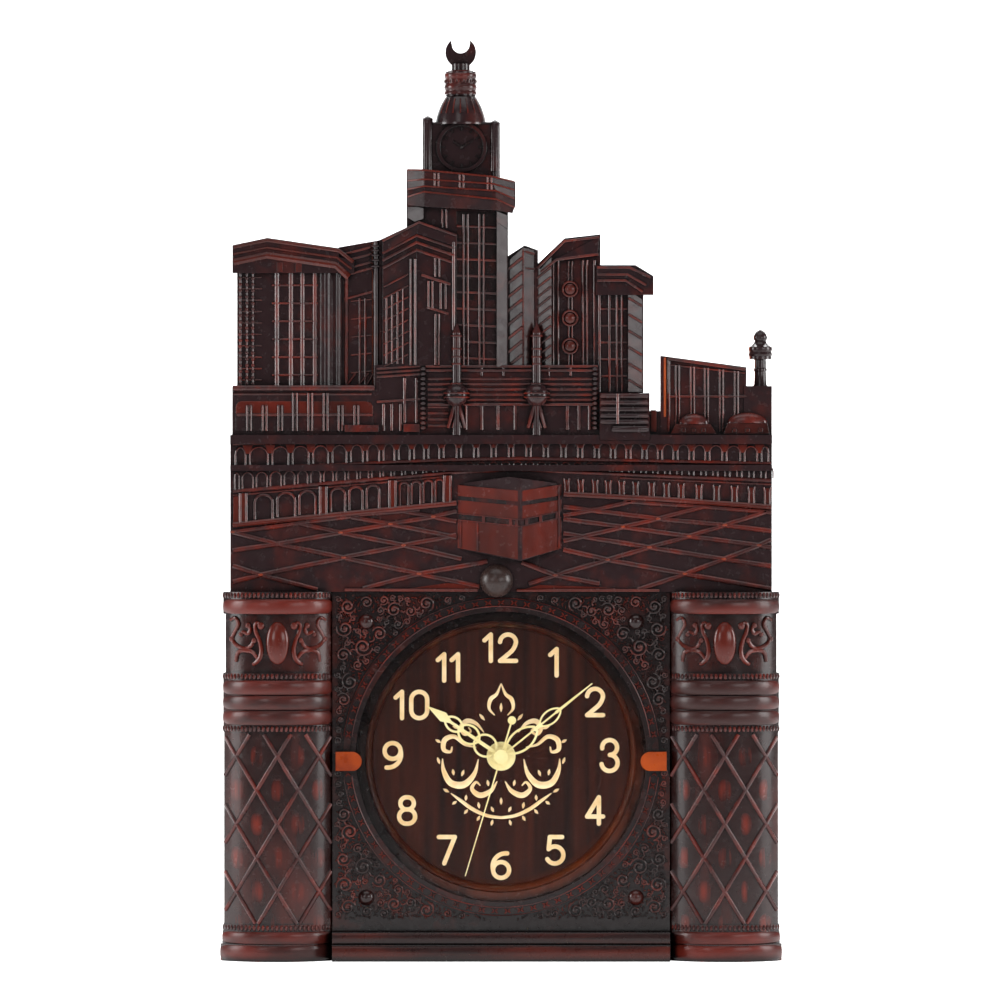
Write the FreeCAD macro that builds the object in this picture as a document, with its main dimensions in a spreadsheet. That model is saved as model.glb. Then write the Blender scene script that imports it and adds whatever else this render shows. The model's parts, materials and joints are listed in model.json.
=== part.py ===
"""Azan clock: a quartz dial and a prayer-call unit in a moulded skyline case.

Millimetres.  x runs to the right, y to the back and z up.  The base stands on
z = 0, the middle of the dial is above the origin, and the dial's face is the
plane y = 0, so what lies in front of it has a negative y.
"""
import FreeCAD, Part
import math
import os
import re
import Sketcher

V = FreeCAD.Vector
doc = FreeCAD.newDocument("AzanClock")
sheet = doc.addObject("Spreadsheet::Sheet", "Sizes")
scratch = doc.addObject("Spreadsheet::Sheet", "Scratch")

# ---------------------------------------------------------------- sizes
# A text that starts with = is a size that follows from others.
SIZES = {
    # the case: depths in front of the dial's face are positive
    "wall": 2.5, "cover_thick": 2.5, "back_deep": 23, "frame_front": 8, "plinth_high": 8.2,
    "plinth_front": 19, "plinth_step_high": 14.5, "plinth_step_front": 17,
    # clearances, and how far solids reach into each other before they are fused
    "butt_gap": 0.1, "fit_gap": 0.2, "run_gap": 0.05, "sink": 1,
    # the dial and the rings of its frame, from the disc outwards
    "disc_radius": 64.6, "cove_wide": 3.1, "cove_gap": 0.3, "ring_wide": 7, "band_wide": 4,
    "frame_margin": 5.4, "band_rise": 8.5, "band_drop": 3.5, "ring_front": 10, "band_front": 9.5,
    "ring_bore": "=disc_radius + cove_wide + cove_gap",
    "ring_radius": "=ring_bore + ring_wide",
    "band_radius": "=ring_radius + band_wide",
    "frame_half": "=band_radius + frame_margin",
    "dial_high": "=plinth_step_high + band_rise + band_radius",
    "split_high": "=dial_high + band_radius + band_drop",
    # lens and the two snap clips that hold it
    "lens_rim": 2.5, "lens_thick": 2.1, "lens_seat": 7.5, "clip_over": 2.75, "clip_margin": 1.65,
    "clip_high": 9.5, "clip_thick": 1.5, "clip_drop": 2.25, "clip_foot": 3.8, "clip_pin": 1.5,
    "clip_pin_long": 3.6,
    "lens_radius": "=ring_radius - lens_rim",
    "clip_reach": "=lens_radius - clip_over",
    "clip_tail": "=frame_half - clip_margin",
    "clip_centre": "=dial_high - clip_drop",
    # dial plate: a flat disc, a curved cove and a rear flange
    "disc_thick": 1.6, "cove_deep": 6, "cove_lip": 0.9, "cove_curve": 7, "flange_margin": 3.4,
    "dial_screw_inset": 3.2, "dial_screw_grip": 5,
    "flange_radius": "=frame_half - flange_margin",
    "dial_screw_circle": "=flange_radius - dial_screw_inset",
    # numerals and the scrollwork on the dial
    "numeral_inset": 10.2, "numeral_high": 15.4, "numeral_wide": 10.2, "numeral_stroke": 2.2,
    "numeral_raise": 0.6, "digit_gap": 1.4, "pair_inset": 3, "ornament_raise": 0.4, "ornament_stroke": 1.1,
    "rosette_radius": 11.5, "scroll_radius": 5.2, "scroll_inset": 30.4, "swag_inset": 17.4,
    "numeral_circle": "=disc_radius - numeral_inset",
    "scroll_circle": "=numeral_circle - scroll_inset",
    "swag_circle": "=numeral_circle - swag_inset",
    # decorative studs in the corners of the frame
    "stud_inset": 16.9, "stud_drop": 3, "stud_radius": 4, "stud_high": 2.6, "stud_pin": 1.5,
    "stud_pin_long": 4,
    "stud_x": "=frame_half - stud_inset",
    "stud_low": "=dial_high - stud_x - stud_drop",
    "stud_up": "=dial_high + stud_x",
    # pillars: the shaft, and how far each tier stands out from it
    "pillar_wide": 54.2, "pillar_side": 7, "shaft_front": 21, "foot_side": 1.8, "foot_proud": 2,
    "foot_high": 8.6, "base_side": 0.8, "roll_proud": 1.4, "base_high": 6.4, "bead_side": 0.4,
    "bead_proud": 0.8, "bead_high": 3.5, "roll_high": 7.5, "panel_high": 29.5, "panel_sunk": 1,
    "panel_side": 0.8, "pillar_hollow": 7.5, "pillar_screw_low": 24, "pillar_screw_drop": 34.5,
    "pillar_screw_y": 8, "pillar_boss_long": 8, "pillar_screw_grip": 6,
    "foot_wide": "=pillar_wide + foot_side", "foot_front": "=shaft_front + foot_proud",
    "base_wide": "=pillar_wide + base_side", "roll_front": "=shaft_front + roll_proud",
    "bead_wide": "=pillar_wide + bead_side", "bead_front": "=shaft_front + bead_proud",
    "panel_wide": "=pillar_wide - panel_side", "panel_front": "=shaft_front - panel_sunk",
    "pillar_screw_up": "=split_high - pillar_screw_drop",
    # rows of the azan unit behind the courtyard panel, from the split upwards
    "set_rise": 15.5, "control_pitch": 20, "display_rise": 22, "board_over": 15,
    "board_margin": 6, "unit_rise": 40.5, "unit_inset": 50.5,
    # the courtyard panel above the split
    "side_step": 3.1, "courtyard_front": 9, "cornice_high": 4.5, "cornice_front": 12,
    "ledge_drop": 18, "ledge_high": 3, "ledge_front": 11, "cube_left": 21.75,
    "cube_corner": 9.75, "cube_right": 30.25, "cube_foot": 15.5, "cube_high": 42,
    "cube_front": 19.5, "cube_rise": 6, "cube_eaves": 3.5, "cube_peak": 4.25,
    "panel_half": "=frame_half + pillar_wide - side_step",
    "courtyard_high": "=set_rise + control_pitch + display_rise + board_over + board_margin",
    # top of the clock tower: bell dome, finial and crescent; a place is a share of the half width
    "tower_place": -0.1494, "tower_y": -1, "bell_radius": 12.7, "bell_high": 13.5, "bell_curve": 30,
    "neck_radius": 7.2, "finial_radius": 7.7, "finial_high": 12, "stalk_radius": 4.6,
    "stalk_high": 4, "crescent_radius": 7.7, "crescent_hole": 4.4, "crescent_thick": 4,
    "crescent_low": 2, "crescent_rise": 0.7, "crescent_open": 4.6, "crescent_trim": 3.4,
    "clock_ring": 12.5, "clock_ring_drop": 12.5, "clock_ring_wide": 1.6, "clock_ring_raise": 1.5,
    "west_post_place": -0.2712, "west_post_high": 158.5, "east_post_place": -0.0229,
    "east_post_high": 156.5, "house_post": 2.6, "house_post_tip": 1.5, "house_post_y": -5.5,
    "tower_x": "=panel_half * tower_place",
    # minarets
    "minaret_place": 0.9594, "minaret_y": 1, "minaret_radius": 2.75, "minaret_shaft": 13.5,
    "balcony_radius": 5.6, "balcony_high": 5.5, "minaret_neck": 5, "minaret_tip": 4.5,
    "slim_left": -0.1642, "slim_right": 0.131, "slim_radius": 2.3, "slim_high": 57, "slim_tip": 6,
    "slim_y": -10.5, "globe_radius": 6, "globe_high": 20,
    "minaret_x": "=panel_half * minaret_place",
    # screws and their bosses
    "boss_radius": 3.5, "pilot_radius": 1.3, "screw_radius": 1.25, "screw_long": 9,
    "screw_clear": 1, "head_radius": 2.7, "head_high": 1.8, "hole_gap": 0.3, "well_radius": 3.6,
    "well_deep": 5, "well_wall": 1.3, "well_floor": 1.5, "frame_screw_inset": 10.4,
    "frame_screw_low": 26, "frame_screw_drop": 12.5, "panel_screw_inset": 8.5,
    "panel_screw_rise": 7, "panel_screw_drop": 9, "tower_screw_x": -0.1476, "tower_screw_z": 105,
    "west_screw_x": -0.7897, "west_screw_z": 75, "east_screw_x": 0.2435, "east_screw_z": 77,
    "frame_screw_x": "=frame_half - frame_screw_inset",
    "frame_screw_up": "=split_high - frame_screw_drop",
    "panel_screw_x": "=panel_half - panel_screw_inset",
    "panel_screw_low": "=split_high + panel_screw_rise",
    "panel_screw_up": "=split_high + courtyard_high - panel_screw_drop",
    # hands, from the dial outwards
    "washer_thick": 0.5, "washer_radius": 7.25, "nut_radius": 5, "nut_thick": 1.7,
    "hour_level": 3.2, "hour_thick": 0.5, "hour_short": 9.4, "minute_level": 4.6,
    "minute_thick": 0.4, "minute_over": 4.1, "second_level": 5.9, "second_thick": 0.3,
    "second_over": 8.1, "second_tail": 21, "second_wide": 0.9, "tail_radius": 2.1,
    "cap_radius": 3.6, "cap_high": 1, "hand_boss": 2.1, "hand_stroke": 1.1, "fine_stroke": 0.9,
    "hour_spine": 2, "hour_neck": 1.4, "spear_wide": 5.2, "waist_wide": 2, "minute_spine": 0.9,
    "minute_blade": 1.5, "minute_tip": 0.6,
    "hour_long": "=numeral_circle - hour_short",
    "minute_long": "=numeral_circle + minute_over",
    "second_long": "=numeral_circle + second_over",
    # the time that the hands show
    "show_hour": 10, "show_minute": 8, "show_second": 33, "second_late": -1.3,
    # gear train: teeth, distances between arbors and their directions
    "rotor_teeth": 12, "step_teeth": 60, "step_pinion": 10, "second_teeth": 60,
    "second_pinion": 8, "third_teeth": 60, "third_pinion": 8, "centre_teeth": 64,
    "cannon_teeth": 12, "motion_teeth": 36, "motion_pinion": 10, "hour_teeth": 40,
    "rotor_distance": 9, "step_distance": 10.15, "third_distance": 10.125,
    "motion_distance": 10.8, "rotor_angle": 110, "step_angle": 160, "third_angle": 20,
    "motion_angle": 95, "backlash": 0.1, "wheel_thick": 0.8, "pinion_thick": 1.2,
    "pinion_lap": 0.2, "cannon_lap": 0.1, "motion_layer": 3.9, "cannon_layer": 5.3,
    "centre_layer": 7, "third_layer": 8.4, "second_layer": 9.9, "step_layer": 11.3,
    "magnet_layer": 12.8, "magnet_radius": 3.2, "magnet_thick": 1.6,
    # quartz movement case, around the train above and the cell below
    "case_front": 2.1, "case_back": 18.1, "case_wall": 1.4, "case_rise": 28, "bay_drop": 10.8,
    "nozzle_radius": 3.9, "nozzle_front": 2.4, "hour_tube": 2.6, "hour_bore": 1.9,
    "minute_tube": 1.7, "minute_bore": 0.65, "arbor_radius": 0.5, "pivot_radius": 0.4,
    "pivot_deep": 0.8, "cell_radius": 7.25, "cell_long": 49.5, "nub_radius": 2.75, "nub_long": 1,
    "cell_top": 0.65, "cell_under": 0.65, "cell_room": 3.25, "cell_y": 10.9,
    "bay_top": "=dial_high - bay_drop",
    "cell_z": "=bay_top - cell_top - cell_radius",
    "case_low": "=cell_z - cell_radius - cell_under - case_wall",
    "case_up": "=dial_high + case_rise",
    "case_half": "=cell_long / 2 + cell_room",
    # motor, circuit and set knob of the movement
    "coil_radius": 2.8, "coil_long": 20, "coil_inset": 4, "coil_rise": 21.8, "stator_thick": 0.8,
    "stator_gap": 0.6, "stator_under": 1.4, "circuit_thick": 1, "circuit_wide": 21,
    "circuit_inset": 3, "circuit_rise": 6, "circuit_high": 19, "circuit_y": 15.2,
    "strip_thick": 0.4, "strip_wide": 9, "knob_radius": 6, "knob_thick": 2.6, "knob_shaft": 1.4,
    "knob_gap": 0.4, "knob_slot": 1.2, "knob_slot_deep": 1, "window_gap": 1,
    "coil_left": "=coil_inset - case_half",
    "coil_z": "=dial_high + coil_rise",
    "circuit_right": "=case_half - circuit_inset",
    "circuit_low": "=dial_high + circuit_rise",
    # azan button
    "button_x": -2.25, "button_place": 5.5, "button_radius": 8.2, "button_rise": 6.2,
    "button_travel": 2, "stem_radius": 3, "stem_end": 3, "cap_wall": 1.4,
    "cap_taper": 0.6, "cap_deep": 2.6, "retainer_radius": 4.4, "retainer_thick": 0.8,
    "retainer_gap": 0.3, "spring_radius": 5, "spring_wire": 0.35, "spring_turns": 5,
    "button_stand": "=button_travel + hole_gap",
    "button_z": "=split_high + button_place",
    # azan sound board and what stands on it
    "board_half": 38, "board_gap": 2.7, "board_front": 10, "board_thick": 1.6,
    "board_screw_side": 4, "board_screw_rise": 4.8, "board_screw_drop": 5, "post_radius": 3,
    "board_grip": 7, "tact_side": 6, "tact_high": 3.4, "plunger_radius": 1.7,
    "plunger_high": 1.4, "set_pitch": 18, "set_radius": 3.2, "set_flange": 4.3,
    "set_flange_thick": 1, "set_stem": 1.5, "set_play": 0.55, "flush_gap": 0.4,
    "display_wide": 42, "display_high": 15, "display_back": 19.8, "window_rim": 2,
    "window_thick": 1.2, "pot_side": 10, "pot_high": 5.4, "volume_x": -24, "volume_radius": 7,
    "volume_shaft": 2.5, "volume_low": 19, "volume_slot": 1.4, "volume_slot_deep": 0.8,
    "switch_x": 24, "switch_wide": 14, "switch_tall": 7, "switch_high": 5.4, "lever_side": 3,
    "lever_foot": 1.9, "switch_travel": 4,
    "board_low": "=split_high + board_gap",
    "board_up": "=split_high + courtyard_high - board_margin",
    "board_screw_x": "=board_half - board_screw_side",
    "board_screw_low": "=board_low + board_screw_rise",
    "board_screw_up": "=board_up - board_screw_drop",
    "set_z": "=split_high + set_rise",
    "volume_z": "=set_z + control_pitch",
    "display_z": "=volume_z + display_rise",
    # loudspeaker behind a slotted grille
    "speaker_radius": 28.5, "speaker_rim": 1.2, "basket_radius": 26.4, "basket_end": 16,
    "basket_back": 8, "basket_lip": 0.9, "basket_sheet": 0.6, "basket_hole": 6,
    "magnet_block": 14, "magnet_block_thick": 6, "cone_radius": 24.6, "cone_centre": 7,
    "cone_thick": 0.5, "cone_rise": 3.5, "cone_sunk": 0.7, "speaker_screw": 30.7,
    "speaker_boss": 2, "speaker_screw_radius": 1, "speaker_screw_cover": 0.7, "slot_wide": 2.4,
    "slot_pitch": 5, "slot_reach": 20, "slot_count": 7,
    "speaker_x": "=unit_inset - panel_half",
    "speaker_z": "=split_high + unit_rise",
    # battery box for three cells, and its door
    "box_wall": 1.5, "box_play": 1, "cell_pitch": 15.2, "cell_row": 3, "cell_centre": 13,
    "contact_bump": 2.5, "contact_thick": 1.85, "box_floor": 4, "door_thick": 1.7,
    "door_gap": 0.3,
    "box_x": "=panel_half - unit_inset",
    "box_z": "=split_high + unit_rise",
    # hanging slots in the back cover
    "hang_place": 0.7601, "hang_up": 17, "hang_hole": 4.5, "hang_slot": 2.4, "hang_rise": 11,
    "hang_x": "=panel_half * hang_place",
    "hang_z": "=split_high + courtyard_high + hang_up",
    # wires of the azan unit
    "wire_radius": 0.6, "wire_pitch": 2.2, "wire_rise": 41.5, "wire_lap": 4, "wire_dip": 0.4,
    "wire_sway": 1, "wire_end": 2.9,
    "wire_z": "=split_high + wire_rise",
}

# Skyline buildings: left, right, foot, height at the left, height at the right, depth in
# front, and for a pointed roof the place and height of its peak.  Places across are shares
# of the panel's half width.  Heights count from the courtyard's top, and None says that the
# building stands on the courtyard.
SKYLINE = {
    "west_block": (-0.9926, -0.4576, None, 24, 24, 10),
    "west_tower": (-0.9756, -0.5889, None, 86, 83, 6),
    "west_cornice": (-0.9926, -0.5424, 81, 95, 87, 8, -0.8635, 98.7),
    "west_roof": (-0.8635, -0.5994, 81, 98.7, 93.5, 8),
    "second_tower": (-0.6015, -0.4317, None, 94, 98, 5),
    "third_tower": (-0.4502, -0.1609, None, 97.5, 101.5, 7.5, -0.3044, 106.75),
    "middle_row": (-0.4668, 0.3635, None, 35, 35, 10),
    "clock_shaft": (-0.3487, 0.0258, None, 115, 115, 9.5),
    "clock_collar": (-0.3487, 0.0535, 114, 132.5, 126.5, 11.5, -0.0314, 129),
    "clock_house": (-0.2565, -0.035, 128, 156.5, 156.5, 8),
    "fifth_tower": (0.0129, 0.1365, None, 88.5, 92.5, 7, 0.0867, 95),
    "sixth_tower": (0.1218, 0.3672, None, 84, 100.5, 6, 0.2343, 98.5),
    "seventh_tower": (0.3487, 0.5258, None, 77, 73, 7),
    "east_cornice": (0.3487, 0.5627, 70, 85, 79.5, 9.5, 0.4963, 85),
    "drum": (0.3635, 0.548, None, 21, 21, 12.5),
    "low_wall": (0.5387, 0.6052, None, 12, 12, 7),
    "east_block": (0.5886, 0.9059, None, 39.7, 34, 7.5),
    "minaret_base": (0.8967, 1.0, None, 24.5, 24.5, 8),
}
FIELDS = ("left", "right", "foot", "up_left", "up_right", "front", "peak_x", "peak")
for building, numbers in SKYLINE.items():
    for field, number in zip(FIELDS, numbers):
        if number is not None:
            SIZES[building + "_" + field] = number

for row, (alias, number) in enumerate(SIZES.items(), start=1):
    sheet.set("A%d" % row, alias)
    sheet.set("B%d" % row, str(number))
    sheet.setAlias("B%d" % row, alias)
doc.recompute()

# Places that several pieces share.
COVER_FACE = "(back_deep - cover_thick)"
FACE_BACK = "(wall - frame_front)"
COURT_TOP = "(split_high + courtyard_high)"
COURT_BACK = "(wall - courtyard_front)"
BOSS_END = "(back_deep - well_deep - well_floor)"
BOARD_BACK = "(board_front + board_thick)"
SIDES = (("left", "-1"), ("right", "1"))


# ---------------------------------------------------------------- expressions
def pointed(match):
    word = match.group(0)
    return "Sizes." + word if word in SIZES else word


def q(text):
    """Point every size named in an expression at the sheet."""
    return re.sub(r"[a-z][a-z_0-9]*", pointed, text)


def val(text):
    """The number that an expression gives with the sheet as it is now."""
    scratch.set("A1", "=" + q(text))
    scratch.recompute()
    return float(scratch.get("A1"))


def bind(thing, **sizes):
    for prop, text in sizes.items():
        thing.setExpression(prop, q(text))


# ---------------------------------------------------------------- primitives
TURNS = {
    "x": FreeCAD.Rotation(V(0, 1, 0), 90),
    "y": FreeCAD.Rotation(V(1, 0, 0), -90),
    "z": FreeCAD.Rotation(),
}


def place(thing, x, y, z):
    for letter, text in zip("xyz", (x, y, z)):
        thing.setExpression("Placement.Base." + letter, q(text))
    return thing


def block(label, x, y, z):
    """Box between three pairs of expressions."""
    thing = doc.addObject("Part::Box", label)
    for prop, (start, end) in zip(("Length", "Width", "Height"), (x, y, z)):
        thing.setExpression(prop, q("(%s) - (%s)" % (end, start)))
    return place(thing, x[0], y[0], z[0])


def centred(label, centre, size, y):
    """Box about a point (x, z), with (width, height), between two depths."""
    (x, z), (wide, high) = centre, size
    return block(label, span(x, wide), y, span(z, high))


def span(centre, size):
    return "(%s) - (%s) / 2" % (centre, size), "(%s) + (%s) / 2" % (centre, size)


def rod(label, radius, start, end, centre, axis="y"):
    """Cylinder along an axis from start to end; centre holds the other two places."""
    thing = doc.addObject("Part::Cylinder", label)
    bind(thing, Radius=radius, Height="(%s) - (%s)" % (end, start))
    thing.Placement = FreeCAD.Placement(V(), TURNS[axis])
    spot = list(centre)
    spot.insert("xyz".index(axis), start)
    return place(thing, *spot)


def joined(label, parts):
    if len(parts) == 1:
        return parts[0]
    thing = doc.addObject("Part::MultiFuse", label)
    thing.Shapes = parts
    return thing


def cut(label, base, tools):
    thing = doc.addObject("Part::Cut", label)
    thing.Base = base
    thing.Tool = joined(label + "_tools", tools)
    return thing


def grouped(label, parts):
    """Several identical pieces kept as separate solids of one node."""
    thing = doc.addObject("Part::Compound", label)
    thing.Links = parts
    return thing


def computed(label, shape, y="0", x="0", z="0"):
    """A piece whose shape is worked out below, then set at its level."""
    thing = doc.addObject("Part::Feature", label)
    thing.Shape = shape
    return place(thing, x, y, z)


# ---------------------------------------------------------------- bodies
NORMALS = {"XZ_Plane": "-(%s)", "XY_Plane": "%s", "YZ_Plane": "%s"}


def new_body(label):
    return doc.addObject("PartDesign::Body", label)


def new_sketch(body, facing, level, shift="0"):
    """Sketch on a plane of the body, at a level along it, shifted along its own x."""
    plane = next(f for f in body.Origin.OriginFeatures if f.Role == facing)
    sketch = body.newObject("Sketcher::SketchObject", body.Label + "_sketch")
    sketch.AttachmentSupport = (plane, "")
    sketch.MapMode = "FlatFace"
    sketch.setExpression("AttachmentOffset.Base.z", q(NORMALS[facing] % level))
    sketch.setExpression("AttachmentOffset.Base.x", q(shift))
    return sketch


def pin_point(sketch, item, end, x, y):
    for kind, text in (("DistanceX", x), ("DistanceY", y)):
        index = sketch.addConstraint(Sketcher.Constraint(kind, -1, 1, item, end, val(text)))
        sketch.setExpression("Constraints[%d]" % index, q(text))


def fix_radius(sketch, item, text):
    index = sketch.addConstraint(Sketcher.Constraint("Radius", item, val(text)))
    sketch.setExpression("Constraints[%d]" % index, q(text))


def arc_between(start, end, radius):
    """Arc that bulges to the right of the way from start to end."""
    chord = end - start
    sagitta = radius - math.sqrt(radius ** 2 - chord.Length ** 2 / 4)
    aside = V(chord.y, -chord.x, 0).normalize() * sagitta
    return Part.Arc(start, (start + end) * 0.5 + aside, end)


def outline(sketch, corners, arcs=None):
    """Closed outline through corners; arcs maps an edge's number to its radius."""
    arcs = arcs or {}
    spots = [V(val(x), val(y), 0) for x, y in corners]
    items = []
    for i, start in enumerate(spots):
        end = spots[(i + 1) % len(spots)]
        if i in arcs:
            edge = arc_between(start, end, val(arcs[i]))
        else:
            edge = Part.LineSegment(start, end)
        items.append(sketch.addGeometry(edge, False))
    ends = []
    for i, item in enumerate(items):
        forward = (sketch.getPoint(item, 1) - spots[i]).Length < 1e-6
        ends.append((1, 2) if forward else (2, 1))
    for i, item in enumerate(items):
        follower = (i + 1) % len(items)
        constraint = Sketcher.Constraint("Coincident", item, ends[i][1], items[follower],
                                         ends[follower][0])
        sketch.addConstraint(constraint)
        pin_point(sketch, item, ends[i][0], *corners[i])
        if i in arcs:
            fix_radius(sketch, item, arcs[i])


def circles(sketch, rounds):
    for x, y, radius in rounds:
        circle = Part.Circle(V(val(x), val(y), 0), V(0, 0, 1), val(radius))
        item = sketch.addGeometry(circle, False)
        pin_point(sketch, item, 3, x, y)
        fix_radius(sketch, item, radius)


def feature(body, kind, sketch, length):
    step = body.newObject("PartDesign::" + kind, body.Label + "_" + kind.lower())
    step.Profile = sketch
    step.setExpression("Length", q(length))
    return step


class Batch:
    """Large moulding made in stages: each stage's solids are fused or cut at one go."""

    def __init__(self, label):
        self.label = label
        self.tools = []
        self.solid = None
        self.stage = 0

    def sketch(self, x, y):
        """Upright sketch that faces the front."""
        sketch = doc.addObject("Sketcher::SketchObject", self.label + "_sketch")
        sketch.Placement = FreeCAD.Placement(V(), FreeCAD.Rotation(V(1, 0, 0), 90))
        place(sketch, x, y, "0")
        return sketch

    def extrude(self, draw, shapes, front, back):
        sketch = self.sketch("0", back)
        draw(sketch, shapes)
        thing = doc.addObject("Part::Extrusion", self.label + "_block")
        thing.Base = sketch
        thing.DirMode = "Custom"
        thing.Dir = V(0, -1, 0)
        thing.Solid = True
        bind(thing, LengthFwd="(%s) - (%s)" % (back, front))
        self.tools.append(thing)

    def spin(self, corners, y, x, arcs):
        sketch = self.sketch(x, y)
        outline(sketch, corners, arcs)
        thing = doc.addObject("Part::Revolution", self.label + "_turned")
        thing.Source = sketch
        thing.Axis = V(0, 0, 1)
        thing.Solid = True
        thing.setExpression("Base.x", q(x))
        thing.setExpression("Base.y", q(y))
        self.tools.append(thing)

    def finish_stage(self, adds, last=False):
        """Fuse the waiting solids to the piece, or cut them away from it."""
        self.stage += 1
        label = self.label if last else "%s_stage_%d" % (self.label, self.stage)
        if adds:
            parts = self.tools + ([self.solid] if self.solid else [])
            self.solid = joined(label, parts)
        else:
            self.solid = cut(label, self.solid, self.tools)
        self.tools = []


def slab(body, corners, front, back):
    """Plate of a given outline seen from the front, between two depths."""
    if isinstance(body, Batch):
        return body.extrude(outline, corners, front, back)
    sketch = new_sketch(body, "XZ_Plane", back)
    outline(sketch, corners)
    feature(body, "Pad", sketch, "(%s) - (%s)" % (back, front))


def hollow(body, corners, front, back):
    if isinstance(body, Batch):
        return body.extrude(outline, corners, front, back)
    sketch = new_sketch(body, "XZ_Plane", front)
    outline(sketch, corners)
    feature(body, "Pocket", sketch, "(%s) - (%s)" % (back, front))


def disc(body, rounds, front, back):
    """Round bosses, or rings where one circle lies inside another."""
    if isinstance(body, Batch):
        return body.extrude(circles, rounds, front, back)
    sketch = new_sketch(body, "XZ_Plane", back)
    circles(sketch, rounds)
    feature(body, "Pad", sketch, "(%s) - (%s)" % (back, front))


def bore(body, rounds, front, back):
    if isinstance(body, Batch):
        return body.extrude(circles, rounds, front, back)
    sketch = new_sketch(body, "XZ_Plane", front)
    circles(sketch, rounds)
    feature(body, "Pocket", sketch, "(%s) - (%s)" % (back, front))


def tier(body, corners, bottom, top, arcs=None):
    """Storey of a given plan between two heights."""
    sketch = new_sketch(body, "XY_Plane", bottom)
    outline(sketch, corners, arcs)
    feature(body, "Pad", sketch, "(%s) - (%s)" % (top, bottom))


def turned(body, facing, corners, level, shift="0", arcs=None):
    """Solid of revolution about the upright line of a sketch on the named plane."""
    if isinstance(body, Batch):
        return body.spin(corners, level, shift, arcs)
    sketch = new_sketch(body, facing, level, shift)
    outline(sketch, corners, arcs)
    step = body.newObject("PartDesign::Revolution", body.Label + "_turned")
    step.Profile = sketch
    step.ReferenceAxis = (sketch, ["V_Axis"])
    step.Angle = 360


def rect(left, right, low, up):
    return [(left, low), (right, low), (right, up), (left, up)]


def around(x, z, wide, high):
    return rect(*span(x, wide), *span(z, high))


def four(x, low, up):
    """Places mirrored about the middle, at two heights."""
    return [(side + " * " + x, z) for _, side in SIDES for z in (low, up)]


# ---------------------------------------------------------------- screws
COVER_SCREWS = [(x, z, FACE_BACK) for x, z in four("frame_screw_x", "frame_screw_low",
                                                   "frame_screw_up")]
COVER_SCREWS_UP = [(x, z, COURT_BACK) for x, z in four("panel_screw_x", "panel_screw_low",
                                                       "panel_screw_up")]
COVER_SCREWS_UP += [
    ("panel_half * tower_screw_x", COURT_TOP + " + tower_screw_z", "(wall - clock_shaft_front)"),
    ("panel_half * west_screw_x", COURT_TOP + " + west_screw_z", "(wall - west_tower_front)"),
    ("panel_half * east_screw_x", COURT_TOP + " + east_screw_z", "(wall - sixth_tower_front)"),
]
DIAL_SCREWS = [("%d * dial_screw_circle * sqrt(0.5)" % x,
                "dial_high + %d * dial_screw_circle * sqrt(0.5)" % z)
               for x in (-1, 1) for z in (-1, 1)]
BOARD_SCREWS = four("board_screw_x", "board_screw_low", "board_screw_up")


def add_bosses(body, screws):
    for x, z, start in screws:
        disc(body, [(x, z, "boss_radius")], start + " - 0.5 * wall", BOSS_END)


def drill_bosses(body, screws):
    bore(body, [(x, z, "pilot_radius") for x, z, _ in screws], BOSS_END + " - screw_long", BOSS_END)


def screw(label, x, z, head_face, grip, radius="screw_radius"):
    """Pan-head screw along y: its head lies behind head_face, its shank in front."""
    shank = rod(label + "_shank", radius, "%s - (%s)" % (head_face, grip), head_face, (x, z))
    head = rod(label + "_head", "head_radius", head_face, head_face + " + head_high", (x, z))
    return joined(label, [shank, head])


# ---------------------------------------------------------------- dial frame
def dial_frame():
    body = new_body("dial_frame")
    slab(body, rect("-frame_half", "frame_half", "0", "split_high"), "-frame_front", FACE_BACK)
    inner = "frame_half - wall"
    tray = [("-frame_half", "0"), ("frame_half", "0"), ("frame_half", "split_high"),
            (inner, "split_high"), (inner, "wall"), ("-(%s)" % inner, "wall"),
            ("-(%s)" % inner, "split_high"), ("-frame_half", "split_high")]
    slab(body, tray, FACE_BACK, COVER_FACE)
    slab(body, rect("-frame_half", "frame_half", "0", "plinth_step_high"),
         "-plinth_step_front", "-frame_front")
    slab(body, rect("-frame_half", "frame_half", "0", "plinth_high"),
         "-plinth_front", "-plinth_step_front")
    hollow(body, rect("-(%s)" % inner, inner, "wall", "plinth_step_high - wall"),
           "wall - plinth_step_front", FACE_BACK)
    centre = ("0", "dial_high")
    disc(body, [(*centre, "ring_radius")], "-ring_front", "0")
    disc(body, [(*centre, "band_radius")], "-band_front", "-frame_front")
    disc(body, [(x, z, "boss_radius") for x, z in DIAL_SCREWS], FACE_BACK, "0")
    bore(body, [(*centre, "ring_bore")], "-ring_front", "0")
    bore(body, [(*centre, "lens_radius + fit_gap")], "-ring_front", "-lens_seat")
    bore(body, [(x, z, "pilot_radius") for x, z in DIAL_SCREWS], "-screw_clear - dial_screw_grip",
         "0")
    studs = four("stud_x", "stud_low", "stud_up")
    bore(body, [(x, z, "stud_pin") for x, z in studs], "-frame_front", FACE_BACK)
    clips = [(side + " * (clip_tail - clip_foot / 2)", "clip_centre") for _, side in SIDES]
    bore(body, [(x, z, "clip_pin") for x, z in clips], "-frame_front", FACE_BACK)
    add_bosses(body, COVER_SCREWS)
    drill_bosses(body, COVER_SCREWS)
    for _, side in SIDES:
        pillar_screw_holes(body, side)


def pillar_screw_holes(body, side):
    """Clearance holes for the screws that draw a pillar to the frame's side."""
    edge = "-frame_half" if side == "-1" else "frame_half - wall"
    sketch = new_sketch(body, "YZ_Plane", "(%s)" % edge)
    circles(sketch, [("pillar_screw_y", z, "screw_radius + hole_gap")
                     for z in ("pillar_screw_low", "pillar_screw_up")])
    step = feature(body, "Pocket", sketch, "wall")
    step.Reversed = True


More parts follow.
